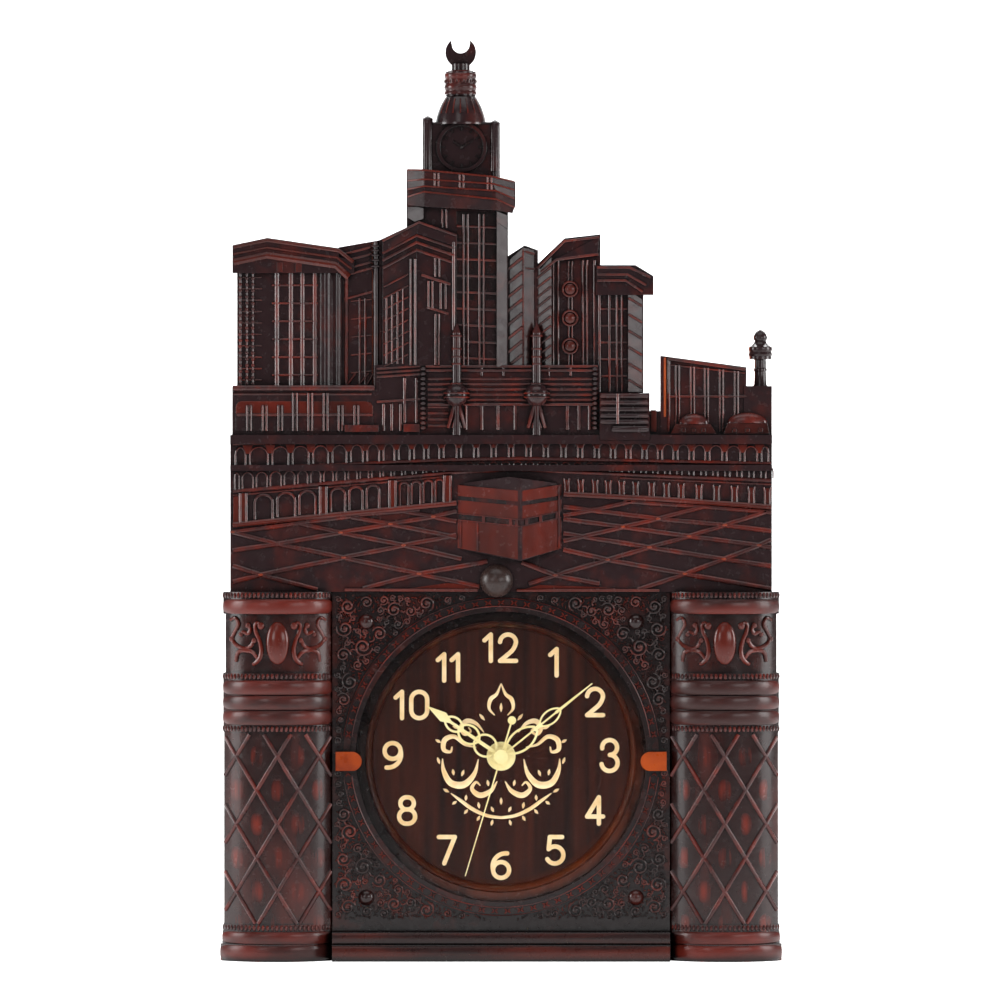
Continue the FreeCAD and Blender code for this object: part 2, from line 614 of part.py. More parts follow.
# ---------------------------------------------------------------- pillars
TIERS = [
    ("foot_high", "foot_wide", "foot_front"), ("base_high", "base_wide", "roll_front"),
    ("bead_high", "bead_wide", "bead_front"), (None, "pillar_wide", "shaft_front"),
    ("bead_high", "bead_wide", "bead_front"), ("roll_high", "bead_wide", "roll_front"),
    ("roll_high", "bead_wide", "roll_front"), ("roll_high", "bead_wide", "roll_front"),
    ("bead_high", "bead_wide", "bead_front"), ("panel_high", "panel_wide", "panel_front"),
    ("roll_high", "bead_wide", "roll_front"), ("bead_high", "bead_wide", "bead_front"),
]


def pillar(name, side):
    body = new_body("pillar_" + name)
    inner = "frame_half + butt_gap"
    named = [high for high, _, _ in TIERS if high]
    shaft = "(split_high - %s)" % " - ".join(named)
    level = "0"
    for high, wide, front in TIERS:
        top = "%s + %s" % (level, high or shaft)
        ends = ["%s * (%s)" % (side, inner), "%s * (%s + %s)" % (side, inner, wide)]
        left, right = ends if side == "1" else ends[::-1]
        plan = [(left, COVER_FACE), (left, "-pillar_side"), (right, "-pillar_side"),
                (right, COVER_FACE)]
        bulge = "(%s - pillar_side)" % front
        radius = "((%s / 2) ^ 2 + %s ^ 2) / (2 * %s)" % (wide, bulge, bulge)
        tier(body, plan, level, top, {1: radius})
        level = top
    near = "%s * (%s + wall)" % (side, inner)
    far = "%s * (%s + panel_wide - wall)" % (side, inner)
    left, right = (near, far) if side == "1" else (far, near)
    hollow(body, rect(left, right, "wall", "split_high - wall"), "-pillar_hollow", COVER_FACE)
    pillar_bosses(body, side, inner)


def pillar_bosses(body, side, inner):
    """Bosses inside the pillar that take the screws from the frame."""
    spots = [("pillar_screw_y", z) for z in ("pillar_screw_low", "pillar_screw_up")]
    start = "%s * (%s)" % (side, inner)
    for kind, radius in (("Pad", "boss_radius"), ("Pocket", "pilot_radius")):
        sketch = new_sketch(body, "YZ_Plane", start)
        circles(sketch, [(y, z, radius) for y, z in spots])
        step = feature(body, kind, sketch, "pillar_boss_long")
        step.Reversed = (side == "-1") == (kind == "Pad")


def pillar_screws():
    screws = []
    for name, side in SIDES:
        for z in ("pillar_screw_low", "pillar_screw_up"):
            label = "pillar_screw_%s_%s" % (name, z[-2:])
            face, tip = "(frame_half - wall)", "(frame_half + butt_gap + pillar_screw_grip)"
            top = "(frame_half - wall - head_high)"
            ends = [(face, tip), (top, face)]
            if side == "-1":
                ends = [("-" + b, "-" + a) for a, b in ends]
            shank = rod(label + "_shank", "screw_radius", *ends[0], ("pillar_screw_y", z), "x")
            head = rod(label + "_head", "head_radius", *ends[1], ("pillar_screw_y", z), "x")
            screws.append(joined(label, [shank, head]))
    grouped("pillar_screws", screws)


# ---------------------------------------------------------------- skyline
def building_outline(name, inset="0"):
    """Outline of a building, drawn in by an inset for its hollow."""
    foot = COURT_TOP
    if name + "_foot" in SIZES:
        foot = "(%s + %s_foot + %s)" % (COURT_TOP, name, inset)
    elif inset == "0":
        foot = "(%s - wall)" % COURT_TOP
    left = "panel_half * %s_left + %s" % (name, inset)
    right = "panel_half * %s_right - %s" % (name, inset)
    level = "%s + %s_%s - %s"
    corners = [(left, foot), (right, foot), (right, level % (COURT_TOP, name, "up_right", inset))]
    if name + "_peak" in SIZES:
        peak = "panel_half * %s_peak_x" % name
        corners.append((peak, level % (COURT_TOP, name, "peak", inset)))
    return corners + [(left, level % (COURT_TOP, name, "up_left", inset))]


def skyline_panel():
    body = Batch("skyline_panel")
    slab(body, rect("-panel_half", "panel_half", "split_high", COURT_TOP),
         "-courtyard_front", COVER_FACE)
    for name in SKYLINE:
        slab(body, building_outline(name), "-%s_front" % name, COVER_FACE)
    body.finish_stage(adds=True)
    hollow(body, rect("wall - panel_half", "panel_half - wall", "split_high - sink",
                      COURT_TOP + " - wall"), COURT_BACK, COVER_FACE)
    for name in SKYLINE:
        hollow(body, building_outline(name, "wall"), "wall - %s_front" % name, COVER_FACE)
    body.finish_stage(adds=False)
    courtyard_relief(body)
    crescent_z, crescent_depth = tower_top(body)
    minarets(body)
    add_bosses(body, COVER_SCREWS_UP)
    disc(body, [(x, z, "post_radius") for x, z in BOARD_SCREWS], COURT_BACK + " - 0.5 * wall",
         "board_front")
    body.finish_stage(adds=True)
    hole = crescent_z + " + crescent_radius - crescent_hole + crescent_rise"
    bore(body, [("tower_x", hole, "crescent_hole")], *crescent_depth)
    hollow(body, around("tower_x", crescent_z + " + crescent_radius", "2 * crescent_open",
                        "2 * crescent_trim"), *crescent_depth)
    drill_bosses(body, COVER_SCREWS_UP)
    bore(body, [(x, z, "pilot_radius") for x, z in BOARD_SCREWS], "board_front - screw_long",
         "board_front")
    bore(body, [("button_x", "button_z", "stem_radius + hole_gap")], "-courtyard_front - sink",
         COURT_BACK)
    body.finish_stage(adds=False, last=True)


def courtyard_relief(body):
    edge = "-panel_half", "panel_half"
    back = "sink - courtyard_front"
    ledge = COURT_TOP + " - ledge_drop"
    slab(body, rect(*edge, COURT_TOP + " - cornice_high", COURT_TOP), "-cornice_front", back)
    slab(body, rect(*edge, ledge, ledge + " + ledge_high"), "-ledge_front", back)
    body.tools.append(cube_block(back))


def cube_block(back):
    """Cube-shaped building that stands corner first, its foot and roof seen in perspective."""
    foot = "split_high + cube_foot"
    roof = foot + " + cube_high"
    sketch = doc.addObject("Sketcher::SketchObject", "cube_sketch")
    place(sketch, "0", "0", foot)
    outline(sketch, [("-cube_left", back), ("cube_corner", "-cube_front"), ("cube_right", back)])
    prism = doc.addObject("Part::Extrusion", "cube_prism")
    prism.Base = sketch
    prism.DirMode = "Custom"
    prism.Dir = V(0, 0, 1)
    prism.Solid = True
    bind(prism, LengthFwd="cube_high")
    front = Batch("cube_front")
    slab(front, [("-cube_left", foot + " + cube_rise"), ("cube_corner", foot),
                 ("cube_right", foot + " + cube_rise"), ("cube_right", roof + " - cube_eaves"),
                 ("cube_peak", roof), ("-cube_left", roof + " - cube_eaves")],
         "-cube_front - sink", back + " + sink")
    block = doc.addObject("Part::MultiCommon", "cube_block")
    block.Shapes = [prism] + front.tools
    return block


def tower_top(body):
    """Bell dome, banded finial, stalk and crescent above the clock house."""
    foot = "(%s + clock_house_up_left)" % COURT_TOP
    bell = "(%s + bell_high)" % foot
    finial = "(%s + finial_high)" % bell
    stalk = "(%s + stalk_high)" % finial
    profile = [("0", foot + " - sink"), ("bell_radius", foot + " - sink"), ("bell_radius", foot),
               ("neck_radius", bell), ("finial_radius", bell), ("finial_radius", finial),
               ("stalk_radius", finial), ("stalk_radius", stalk), ("0", stalk)]
    turned(body, "XZ_Plane", profile, "tower_y", "tower_x", {2: "bell_curve"})
    crescent_z = "%s - crescent_low + crescent_radius" % stalk
    depth = ("tower_y - crescent_thick / 2", "tower_y + crescent_thick / 2")
    disc(body, [("tower_x", crescent_z, "crescent_radius")], *depth)
    radii = ("clock_ring", "clock_ring - clock_ring_wide")
    rings = [("panel_half * (clock_house_left + clock_house_right) / 2", foot + " - clock_ring_drop", r)
             for r in radii]
    disc(body, rings, "-clock_house_front - clock_ring_raise", "-clock_house_front")
    for side in ("west", "east"):
        low, high = COURT_TOP + " + clock_house_foot", "%s + %s_post_high" % (COURT_TOP, side)
        profile = [("0", low), ("house_post", low), ("house_post", high),
                   ("0", high + " + house_post_tip")]
        turned(body, "XZ_Plane", profile, "house_post_y", "panel_half * %s_post_place" % side)
    return crescent_z, depth


def minarets(body):
    base = "(%s + minaret_base_up_left)" % COURT_TOP
    shaft = "(%s + minaret_shaft)" % base
    balcony = "(%s + balcony_high)" % shaft
    neck = "(%s + minaret_neck)" % balcony
    profile = [("0", base + " - sink"), ("minaret_radius", base + " - sink"),
               ("minaret_radius", shaft),
               ("balcony_radius", shaft), ("balcony_radius", balcony),
               ("minaret_radius", balcony), ("minaret_radius", neck),
               ("0", neck + " + minaret_tip")]
    turned(body, "XZ_Plane", profile, "minaret_y", "minaret_x")
    for x in ("panel_half * slim_left", "panel_half * slim_right"):
        profile = [("0", COURT_TOP), ("slim_radius", COURT_TOP),
                   ("slim_radius", COURT_TOP + " + slim_high - slim_tip"),
                   ("0", COURT_TOP + " + slim_high")]
        turned(body, "XZ_Plane", profile, "slim_y", x)
        globe = doc.addObject("Part::Sphere", "globe")
        bind(globe, Radius="globe_radius")
        body.tools.append(place(globe, x, "slim_y", COURT_TOP + " + globe_high"))


# ---------------------------------------------------------------- back cover
def back_cover():
    body = Batch("back_cover")
    slab(body, rect("-panel_half", "panel_half", "split_high - wall", COURT_TOP), COVER_FACE,
         "back_deep")
    outer = "(frame_half + butt_gap + panel_wide)"
    slab(body, rect("-" + outer, outer, "0", "split_high"), COVER_FACE, "back_deep")
    for name in SKYLINE:
        slab(body, building_outline(name), COVER_FACE, "back_deep")
    wells = [(x, z) for x, z, _ in COVER_SCREWS + COVER_SCREWS_UP]
    floor = "(back_deep - well_deep)"
    for x, z in wells:
        disc(body, [(x, z, "well_radius + well_wall")], BOSS_END, COVER_FACE + " + sink")
    for x, z in speaker_screw_places():
        disc(body, [(x, z, "speaker_boss")], COVER_FACE + " - speaker_rim", COVER_FACE + " + sink")
    slab(body, around("box_x", "box_z", *BOX_OUTER), "box_floor", COVER_FACE + " + sink")
    body.finish_stage(adds=True)
    for x, z in wells:
        bore(body, [(x, z, "well_radius")], floor, "back_deep")
        bore(body, [(x, z, "screw_radius + hole_gap")], BOSS_END, floor)
    half = "case_half + window_gap"
    hollow(body, rect("-(%s)" % half, half, "case_low - window_gap", "case_up + window_gap"),
           COVER_FACE, "back_deep")
    cover_controls(body)
    cover_speaker(body)
    hollow(body, around("box_x", "box_z", BOX_WIDE, BOX_HIGH), "box_floor + box_wall", "back_deep")
    hollow(body, around("box_x", "box_z", *BOX_OUTER), "back_deep - door_thick", "back_deep")
    for _, side in SIDES:
        keyhole(body, side + " * hang_x")
    body.finish_stage(adds=False, last=True)


def cover_controls(body):
    hollow(body, around("0", "display_z", "display_wide", "display_high"), COVER_FACE, "back_deep")
    rim = "2 * window_rim"
    hollow(body, around("0", "display_z", "display_wide + " + rim, "display_high + " + rim),
           "back_deep - window_thick", "back_deep")
    holes = [(x, "set_z", "set_radius + hole_gap") for x in set_places()]
    holes.append(("volume_x", "volume_z", "volume_radius + hole_gap"))
    bore(body, holes, COVER_FACE, "back_deep")
    hollow(body, around("switch_x", "volume_z", "lever_side + switch_travel + 2 * hole_gap",
                        "lever_side + 2 * hole_gap"), COVER_FACE, "back_deep")


def cover_speaker(body):
    count = int(val("slot_count"))
    for i in range(count):
        offset = "%s * slot_pitch" % (i - (count - 1) / 2)
        wide = "2 * sqrt(slot_reach ^ 2 - (%s) ^ 2)" % offset
        hollow(body, around("speaker_x", "speaker_z + " + offset, wide, "slot_wide"),
               COVER_FACE, "back_deep")
    for x, z in speaker_screw_places():
        bore(body, [(x, z, "speaker_screw_radius + 2 * run_gap")], COVER_FACE + " - speaker_rim",
             "back_deep - speaker_screw_cover")


BOX_WIDE = "(cell_row * cell_pitch + box_play)"
BOX_HIGH = "(cell_long + nub_long + 2 * contact_thick)"
BOX_OUTER = ("%s + 2 * box_wall" % BOX_WIDE, "%s + 2 * box_wall" % BOX_HIGH)


def keyhole(body, x):
    bore(body, [(x, "hang_z", "hang_hole")], COVER_FACE, "back_deep")
    hollow(body, around(x, "hang_z + hang_rise / 2", "2 * hang_slot", "hang_rise"), COVER_FACE,
           "back_deep")


def cover_screws():
    head_face = "(back_deep - well_deep)"
    screws = [screw("cover_screw_%d" % i, x, z, head_face, "well_floor + screw_long - screw_clear")
              for i, (x, z, _) in enumerate(COVER_SCREWS + COVER_SCREWS_UP)]
    grouped("cover_screws", screws)


# ---------------------------------------------------------------- front trim
def corner_studs():
    studs = []
    for i, (x, z) in enumerate(four("stud_x", "stud_low", "stud_up")):
        dome = doc.addObject("Part::Sphere", "stud_dome_%d" % i)
        ball = "((stud_radius ^ 2 + stud_high ^ 2) / (2 * stud_high))"
        bind(dome, Radius=ball, Angle1="90 deg - 2 * atan(stud_high / stud_radius)")
        dome.Placement = FreeCAD.Placement(V(), FreeCAD.Rotation(V(1, 0, 0), 90))
        place(dome, x, "%s - stud_high - frame_front" % ball, z)
        pin = rod("stud_pin_%d" % i, "stud_pin", "-frame_front - fit_gap",
                  "stud_pin_long - frame_front", (x, z))
        studs.append(joined("corner_stud_%d" % i, [dome, pin]))
    grouped("corner_studs", studs)


def lens_clip(name, side):
    """Round-nosed snap clip: it bears on the dial rim and has a foot with a pin."""
    nose = "(clip_reach + clip_high / 2)"
    top, base = "-ring_front - butt_gap - clip_thick", "-ring_front - butt_gap"
    label = "lens_clip_" + name
    ends = (nose, "clip_tail")
    foot = ("clip_tail - clip_foot", "clip_tail")
    if side == "-1":
        ends = ("-clip_tail", "-" + nose)
        foot = ("-clip_tail", "clip_foot - clip_tail")
    high = span("clip_centre", "clip_high")
    tab = block(label + "_tab", ends, (top, base), high)
    round_nose = rod(label + "_nose", "clip_high / 2", top, base,
                     (side + " * " + nose, "clip_centre"))
    heel = block(label + "_foot", foot, (base, "-frame_front"), high)
    pin = rod(label + "_pin", "clip_pin", "-frame_front", "clip_pin_long - frame_front",
              (side + " * (clip_tail - clip_foot / 2)", "clip_centre"))
    joined(label, [tab, round_nose, heel, pin])


def lens():
    rod("lens", "lens_radius", "-lens_seat - lens_thick", "-lens_seat", ("0", "dial_high"))


# ---------------------------------------------------------------- dial
def dial_plate():
    body = new_body("dial_plate")
    rim = "disc_radius + cove_wide"
    hole = "nozzle_radius + fit_gap"
    profile = [(hole, "disc_thick"), (hole, "0"), ("disc_radius", "0"),
               (rim + " - cove_lip", "-cove_deep"), (rim, "-cove_deep"), (rim, "0"),
               ("flange_radius", "0"), ("flange_radius", "disc_thick")]
    turned(body, "XY_Plane", profile, "dial_high", "0", {2: "cove_curve"})
    bore(body, [(x, z, "screw_radius + hole_gap") for x, z in DIAL_SCREWS], "0", "disc_thick")


def dial_screws():
    screws = [screw("dial_screw_%d" % i, x, z, "disc_thick",
                    "disc_thick + dial_screw_grip")
              for i, (x, z) in enumerate(DIAL_SCREWS)]
    grouped("dial_screws", screws)


# Centre lines of the digits in a box one wide and one high, its foot at the origin.
# Each stroke is a list of points; a pair of points after "arc" is passed as a curve.
LOW_BOWL = [(-.5, .3), "arc", (0, 0), (.5, .3)]
DIGITS = {
    "0": [[(-.5, .3), (-.5, .7), "arc", (0, 1), (.5, .7), (.5, .3), "arc", (0, 0), (-.5, .3)]],
    "1": [[(-.32, .78), (.08, 1), (.08, 0)]],
    "2": [[(-.5, .72), "arc", (0, 1), (.5, .72), "arc", (.38, .5), (.1, .3), (-.5, 0), (.5, 0)]],
    "3": [[(-.46, .8), "arc", (.46, .78), (.02, .55), "arc", (.5, .28), (-.5, .2)]],
    "4": [[(.24, 0), (.24, 1), (-.5, .27), (.5, .27)]],
    "5": [[(.42, 1), (-.34, 1), (-.42, .54), "arc", (.5, .34), (-.5, .16)]],
    "6": [[(.38, .93), "arc", (-.38, .72), (-.5, .3), "arc", (0, 0), (.5, .3), "arc",
           (0, .6), (-.5, .3)]],
    "7": [[(-.5, 1), (.5, 1), (-.16, 0)]],
    "8": [[(0, .54), "arc", (.5, .27), (0, 0), "arc", (-.5, .27), (0, .54), "arc",
           (.42, .77), (0, 1), "arc", (-.42, .77), (0, .54)]],
    "9": [[(-.38, .07), "arc", (.38, .28), (.5, .7), "arc", (0, 1), (-.5, .7), "arc",
           (0, .4), (.5, .7)]],
}


def path_edges(points, move):
    """Edges through points; the word arc before a point makes it an arc's middle."""
    edges = []
    here = move(*points[0])
    rest = list(points[1:])
    while rest:
        step = rest.pop(0)
        if step == "arc":
            middle, end = move(*rest.pop(0)), move(*rest.pop(0))
            edges.append(Part.Arc(here, middle, end).toShape())
        else:
            end = move(*step)
            edges.append(Part.LineSegment(here, end).toShape())
        here = end
    return edges


def stroke(edges, width, thick):
    """Bar of even width and round ends along edges in the x-z plane, back face on y = 0."""
    half = width / 2
    faces = []
    for edge in edges:
        if isinstance(edge.Curve, Part.Line):
            faces.append(straight_bar(edge, half))
        else:
            rim = Part.Wire([edge]).makeOffset2D(half, join=0, fill=False, openResult=False)
            faces.append(Part.Face(rim.Wires))
    return fused([face.extrude(V(0, -thick, 0)) for face in faces])


def straight_bar(edge, half):
    """Face of a straight bar with round ends."""
    start, end = edge.Vertexes[0].Point, edge.Vertexes[1].Point
    along = (end - start).normalize() * half
    aside = V(-along.z, 0, along.x)
    rim = [Part.LineSegment(start + aside, end + aside),
           Part.Arc(end + aside, end + along, end - aside),
           Part.LineSegment(end - aside, start - aside),
           Part.Arc(start - aside, start - along, start + aside)]
    return Part.Face(Part.Wire([piece.toShape() for piece in rim]))


def fused(solids):
    if len(solids) == 1:
        return solids[0]
    return solids[0].multiFuse(solids[1:]).removeSplitter()


def on_dial(radius, clock_angle):
    """Point of the dial at an angle clockwise from twelve, about the dial's centre."""
    turn = math.radians(clock_angle)
    return V(radius * math.sin(turn), 0, radius * math.cos(turn))


def numeral(text):
    """Upright numeral centred on its own middle."""
    width, thick = val("numeral_stroke"), val("numeral_raise")
    high = val("numeral_high") - width
    wide = val("numeral_wide") - width
    spread = {digit: (.42 if digit == "1" else 1) * wide for digit in text}
    total = sum(spread[d] + width for d in text) + val("digit_gap") * (len(text) - 1)
    left = -total / 2
    solids = []
    for digit in text:
        middle = left + (spread[digit] + width) / 2
        move = lambda u, v: V(middle + u * wide, 0, v * high - high / 2)
        for points in DIGITS[digit]:
            solids.append(stroke(path_edges(points, move), width, thick))
        left += spread[digit] + width + val("digit_gap")
    return fused(solids)


def dial_numerals():
    solids = []
    for hour in range(1, 13):
        shape = numeral(str(hour))
        inset = val("pair_inset") if hour in (10, 11) else 0
        shape.translate(on_dial(val("numeral_circle") - inset, hour * 30))
        solids.extend(shape.Solids)
    computed("dial_numerals", Part.makeCompound(solids), z="dial_high")


def dial_ornament():
    """Rosette ring, eight curled scrolls and a swag of small leaves."""
    width, thick = val("ornament_stroke"), val("ornament_raise")
    curl = val("scroll_radius")
    rosette = Part.makeCylinder(val("rosette_radius"), thick, V(), V(0, -1, 0))
    ring = rosette.cut(Part.makeCylinder(val("rosette_radius") - width, thick, V(), V(0, -1, 0)))
    solids = [ring]
    for i in range(8):
        solids.append(curled_scroll(curl, width, thick, 1 if i % 2 else -1))
        solids[-1].translate(V(0, 0, val("scroll_circle")))
        solids[-1].rotate(V(), V(0, 1, 0), 45 * i + 22.5)
    for i in range(-4, 5):
        leaf = curled_scroll(curl * .5, width, thick, 1 if i % 2 else -1)
        leaf.translate(V(0, 0, val("swag_circle")))
        leaf.rotate(V(), V(0, 1, 0), 180 + 11 * i)
        solids.append(leaf)
    computed("dial_ornament", Part.makeCompound(solids), z="dial_high")


def curled_scroll(size, width, thick, hand):
    """S-shaped scroll about its own middle."""
    move = lambda u, v: V(hand * u * size, 0, v * size)
    points = [(.2, .35), "arc", (.1, .75), (-.3, .9), "arc", (-.75, .5), (-.4, .05), (.4, -.05),
              "arc", (.75, -.5), (.3, -.9), "arc", (-.1, -.75), (-.2, -.35)]
    return stroke(path_edges(points, move), width, thick)


# ---------------------------------------------------------------- hands
def turn_to(shape, clock_angle):
    shape.rotate(V(), V(0, 1, 0), clock_angle)
    return shape


def plate(points, thick):
    """Flat plate with straight sides in the x-z plane."""
    corners = [V(x, 0, z) for x, z in points]
    return Part.Face(Part.makePolygon(corners + corners[:1])).extrude(V(0, -thick, 0))


def ring_plate(outer, inner, thick):
    return Part.makeCylinder(outer, thick, V(), V(0, -1, 0)).cut(
        Part.makeCylinder(inner, thick, V(), V(0, -1, 0)))


def bar(low, high, low_wide, high_wide, thick):
    """Straight or tapered bar up the middle of a hand."""
    return plate([(-low_wide / 2, low), (low_wide / 2, low), (high_wide / 2, high),
                  (-high_wide / 2, high)], thick)


def scroll_pair(low, high, reach, width, thick, meets):
    """Two mirrored C-scrolls between two heights of a hand, closed by the bar that they meet."""
    middle = (low + high) / 2
    pair = []
    for hand in (-1, 1):
        move = lambda u, v: V(hand * u, 0, v)
        points = [(0, low), "arc", (reach, middle), (meets / 2 + width / 4, high)]
        pair.append(stroke(path_edges(points, move), width, thick))
    return pair


def hour_hand():
    """Ornate hand of stacked scroll loops under a spear head."""
    long, thick, stroke_wide = val("hour_long"), val("hour_thick"), val("hand_stroke")
    bore_radius = val("hour_tube")
    boss_radius = bore_radius + val("hand_boss")
    root = (bore_radius + boss_radius) / 2
    spine, neck, spear = val("hour_spine"), val("hour_neck"), val("spear_wide")
    parts = [ring_plate(boss_radius, bore_radius, thick)]
    parts += scroll_pair(root, .34 * long, .12 * long, stroke_wide, thick, spine)
    parts += scroll_pair(.3 * long, .56 * long, .1 * long, stroke_wide, thick, neck)
    parts += scroll_pair(.52 * long, .74 * long, .075 * long, stroke_wide, thick, neck)
    parts.append(bar(root, .7 * long, spine, neck, thick))
    parts.append(bar(.68 * long, .78 * long, neck, spear, thick))
    parts.append(plate([(-spear / 2, .78 * long), (spear / 2, .78 * long), (0, long)], thick))
    angle = (val("show_hour") + val("show_minute") / 60 + val("show_second") / 3600) * 30
    computed("hour_hand", turn_to(fused(parts), angle), "-hour_level", z="dial_high")


def minute_hand():
    """Slim hand with two open loops, a ribbed waist and a long straight tip."""
    long, thick = val("minute_long"), val("minute_thick")
    bore_radius = val("minute_tube")
    boss_radius = bore_radius + val("hand_boss")
    root = (bore_radius + boss_radius) / 2
    waist, spine = val("waist_wide"), val("minute_spine")
    parts = [ring_plate(boss_radius, bore_radius, thick)]
    blade = val("minute_blade")
    parts += scroll_pair(root, .38 * long, .085 * long, val("hand_stroke"), thick, waist)
    parts += scroll_pair(.42 * long, .64 * long, .055 * long, val("fine_stroke"), thick, blade)
    parts.append(bar(.36 * long, .44 * long, waist, waist, thick))
    parts.append(bar(.6 * long, long, blade, val("minute_tip"), thick))
    parts.append(bar(root, .64 * long, spine, spine, thick))
    angle = (val("show_minute") + val("show_second") / 60) * 6
    computed("minute_hand", turn_to(fused(parts), angle), "-minute_level", z="dial_high")


def second_hand():
    """Straight needle with a lobed tail and a round cap over the arbor."""
    long, thick = val("second_long"), val("second_thick")
    wide, tail, lobe = val("second_wide"), val("second_tail"), val("tail_radius")
    parts = [bar(-tail, long, wide, wide / 2, thick)]
    parts.append(Part.makeCylinder(lobe, thick, V(0, 0, lobe - tail), V(0, -1, 0)))
    parts.append(Part.makeCylinder(val("cap_radius"), thick + val("cap_high"), V(), V(0, -1, 0)))
    angle = val("show_second") * 6 + val("second_late")
    computed("second_hand", turn_to(fused(parts), angle), "-second_level", z="dial_high")


# ---------------------------------------------------------------- movement
AXIS = ("0", "dial_high")


def polar(distance, angle, start=AXIS):
    x, z = start
    return ("%s + %s * cos(%s)" % (x, distance, angle), "%s + %s * sin(%s)" % (z, distance, angle))


STEP_ARBOR = polar("step_distance", "step_angle")
ROTOR_ARBOR = polar("rotor_distance", "rotor_angle", STEP_ARBOR)
THIRD_ARBOR = polar("third_distance", "third_angle")
MOTION_ARBOR = polar("motion_distance", "motion_angle")
CASE_INNER = "(case_front + case_wall)"
PLATE_FACE = "(case_back - case_wall)"


def movement_case():
    inner = "(case_half - case_wall)"
    shell = block("case_shell", ("-case_half", "case_half"), ("case_front", PLATE_FACE),
                  ("case_low", "case_up"))
    room = block("case_room", ("-" + inner, inner), (CASE_INNER, "case_back"),
                 ("bay_top + case_wall", "case_up - case_wall"))
    bay = block("case_bay", ("-" + inner, inner), (CASE_INNER, "case_back"),
                ("case_low + case_wall", "bay_top"))
    nozzle = rod("case_nozzle", "nozzle_radius", "-nozzle_front", "case_front + butt_gap", AXIS)
    tube = rod("case_tube", "hour_tube + 3 * run_gap", "-nozzle_front", CASE_INNER, AXIS)
    pivots = [rod("case_pivot_%d" % i, "pivot_radius + run_gap", CASE_INNER + " - pivot_deep",
                  CASE_INNER, spot)
              for i, spot in enumerate((STEP_ARBOR, ROTOR_ARBOR, THIRD_ARBOR, MOTION_ARBOR))]
    cut("movement_case", joined("case_solid", [shell, nozzle]), [room, bay, tube] + pivots)


def movement_cover():
    board = block("cover_plate", ("-case_half", "case_half"), (PLATE_FACE, "case_back"),
                  ("bay_top", "case_up"))
    holes = [rod("plate_pivot_%d" % i, "pivot_radius + run_gap", PLATE_FACE,
                 PLATE_FACE + " + pivot_deep", spot)
             for i, spot in enumerate((STEP_ARBOR, ROTOR_ARBOR, THIRD_ARBOR, AXIS))]
    holes.append(rod("plate_knob_hole", "knob_shaft + 2 * run_gap", PLATE_FACE, "case_back",
                     MOTION_ARBOR))
    cut("movement_cover", board, holes)


def gear_face(teeth, module, phase):
    """Involute gear outline, 20 degree pressure angle and short teeth, one tooth at phase."""
    addendum, dedendum, pressure = .8, 1.15, math.radians(20)
    pitch = module * teeth / 2
    base = pitch * math.cos(pressure)
    half_pitch_tooth = (module * math.pi / 2 - val("backlash")) / (2 * pitch)

    def roll(angle):
        return math.tan(angle) - angle

    def half_tooth(radius):
        cosine = min(1, base / max(radius, base))
        return half_pitch_tooth + roll(pressure) - roll(math.acos(cosine))

    root, tip = pitch - dedendum * module, pitch + addendum * module
    flank = max(root, base)
    radii = sorted({round(r, 5) for r in (root, flank, (flank + tip) / 2, tip)})
    points = []
    for i in range(teeth):
        middle = phase + 2 * math.pi * i / teeth
        side = [(r, middle - half_tooth(r)) for r in radii]
        side += [(r, middle + half_tooth(r)) for r in radii[::-1]]
        points += [V(r * math.cos(a), 0, r * math.sin(a)) for r, a in side]
    return Part.Face(Part.makePolygon(points + points[:1]))


def gear(teeth_name, distance, mate, phase, start, thick):
    """Gear as a solid from y = start; its module comes from the arbor distance."""
    teeth = int(val(teeth_name))
    module = 2 * val(distance) / (teeth + int(val(mate)))
    face = gear_face(teeth, module, phase)
    face.translate(V(0, val(start), 0))
    return face.extrude(V(0, val(thick), 0))


def shaft(radius, start, end):
    return Part.makeCylinder(val(radius), val(end) - val(start), V(0, val(start), 0), V(0, 1, 0))


def phase_pair(angle, teeth_name):
    """Phases that put a driver's tooth in its follower's gap on the line of centres."""
    line = math.radians(val(angle))
    return line, line + math.pi + math.pi / int(val(teeth_name))


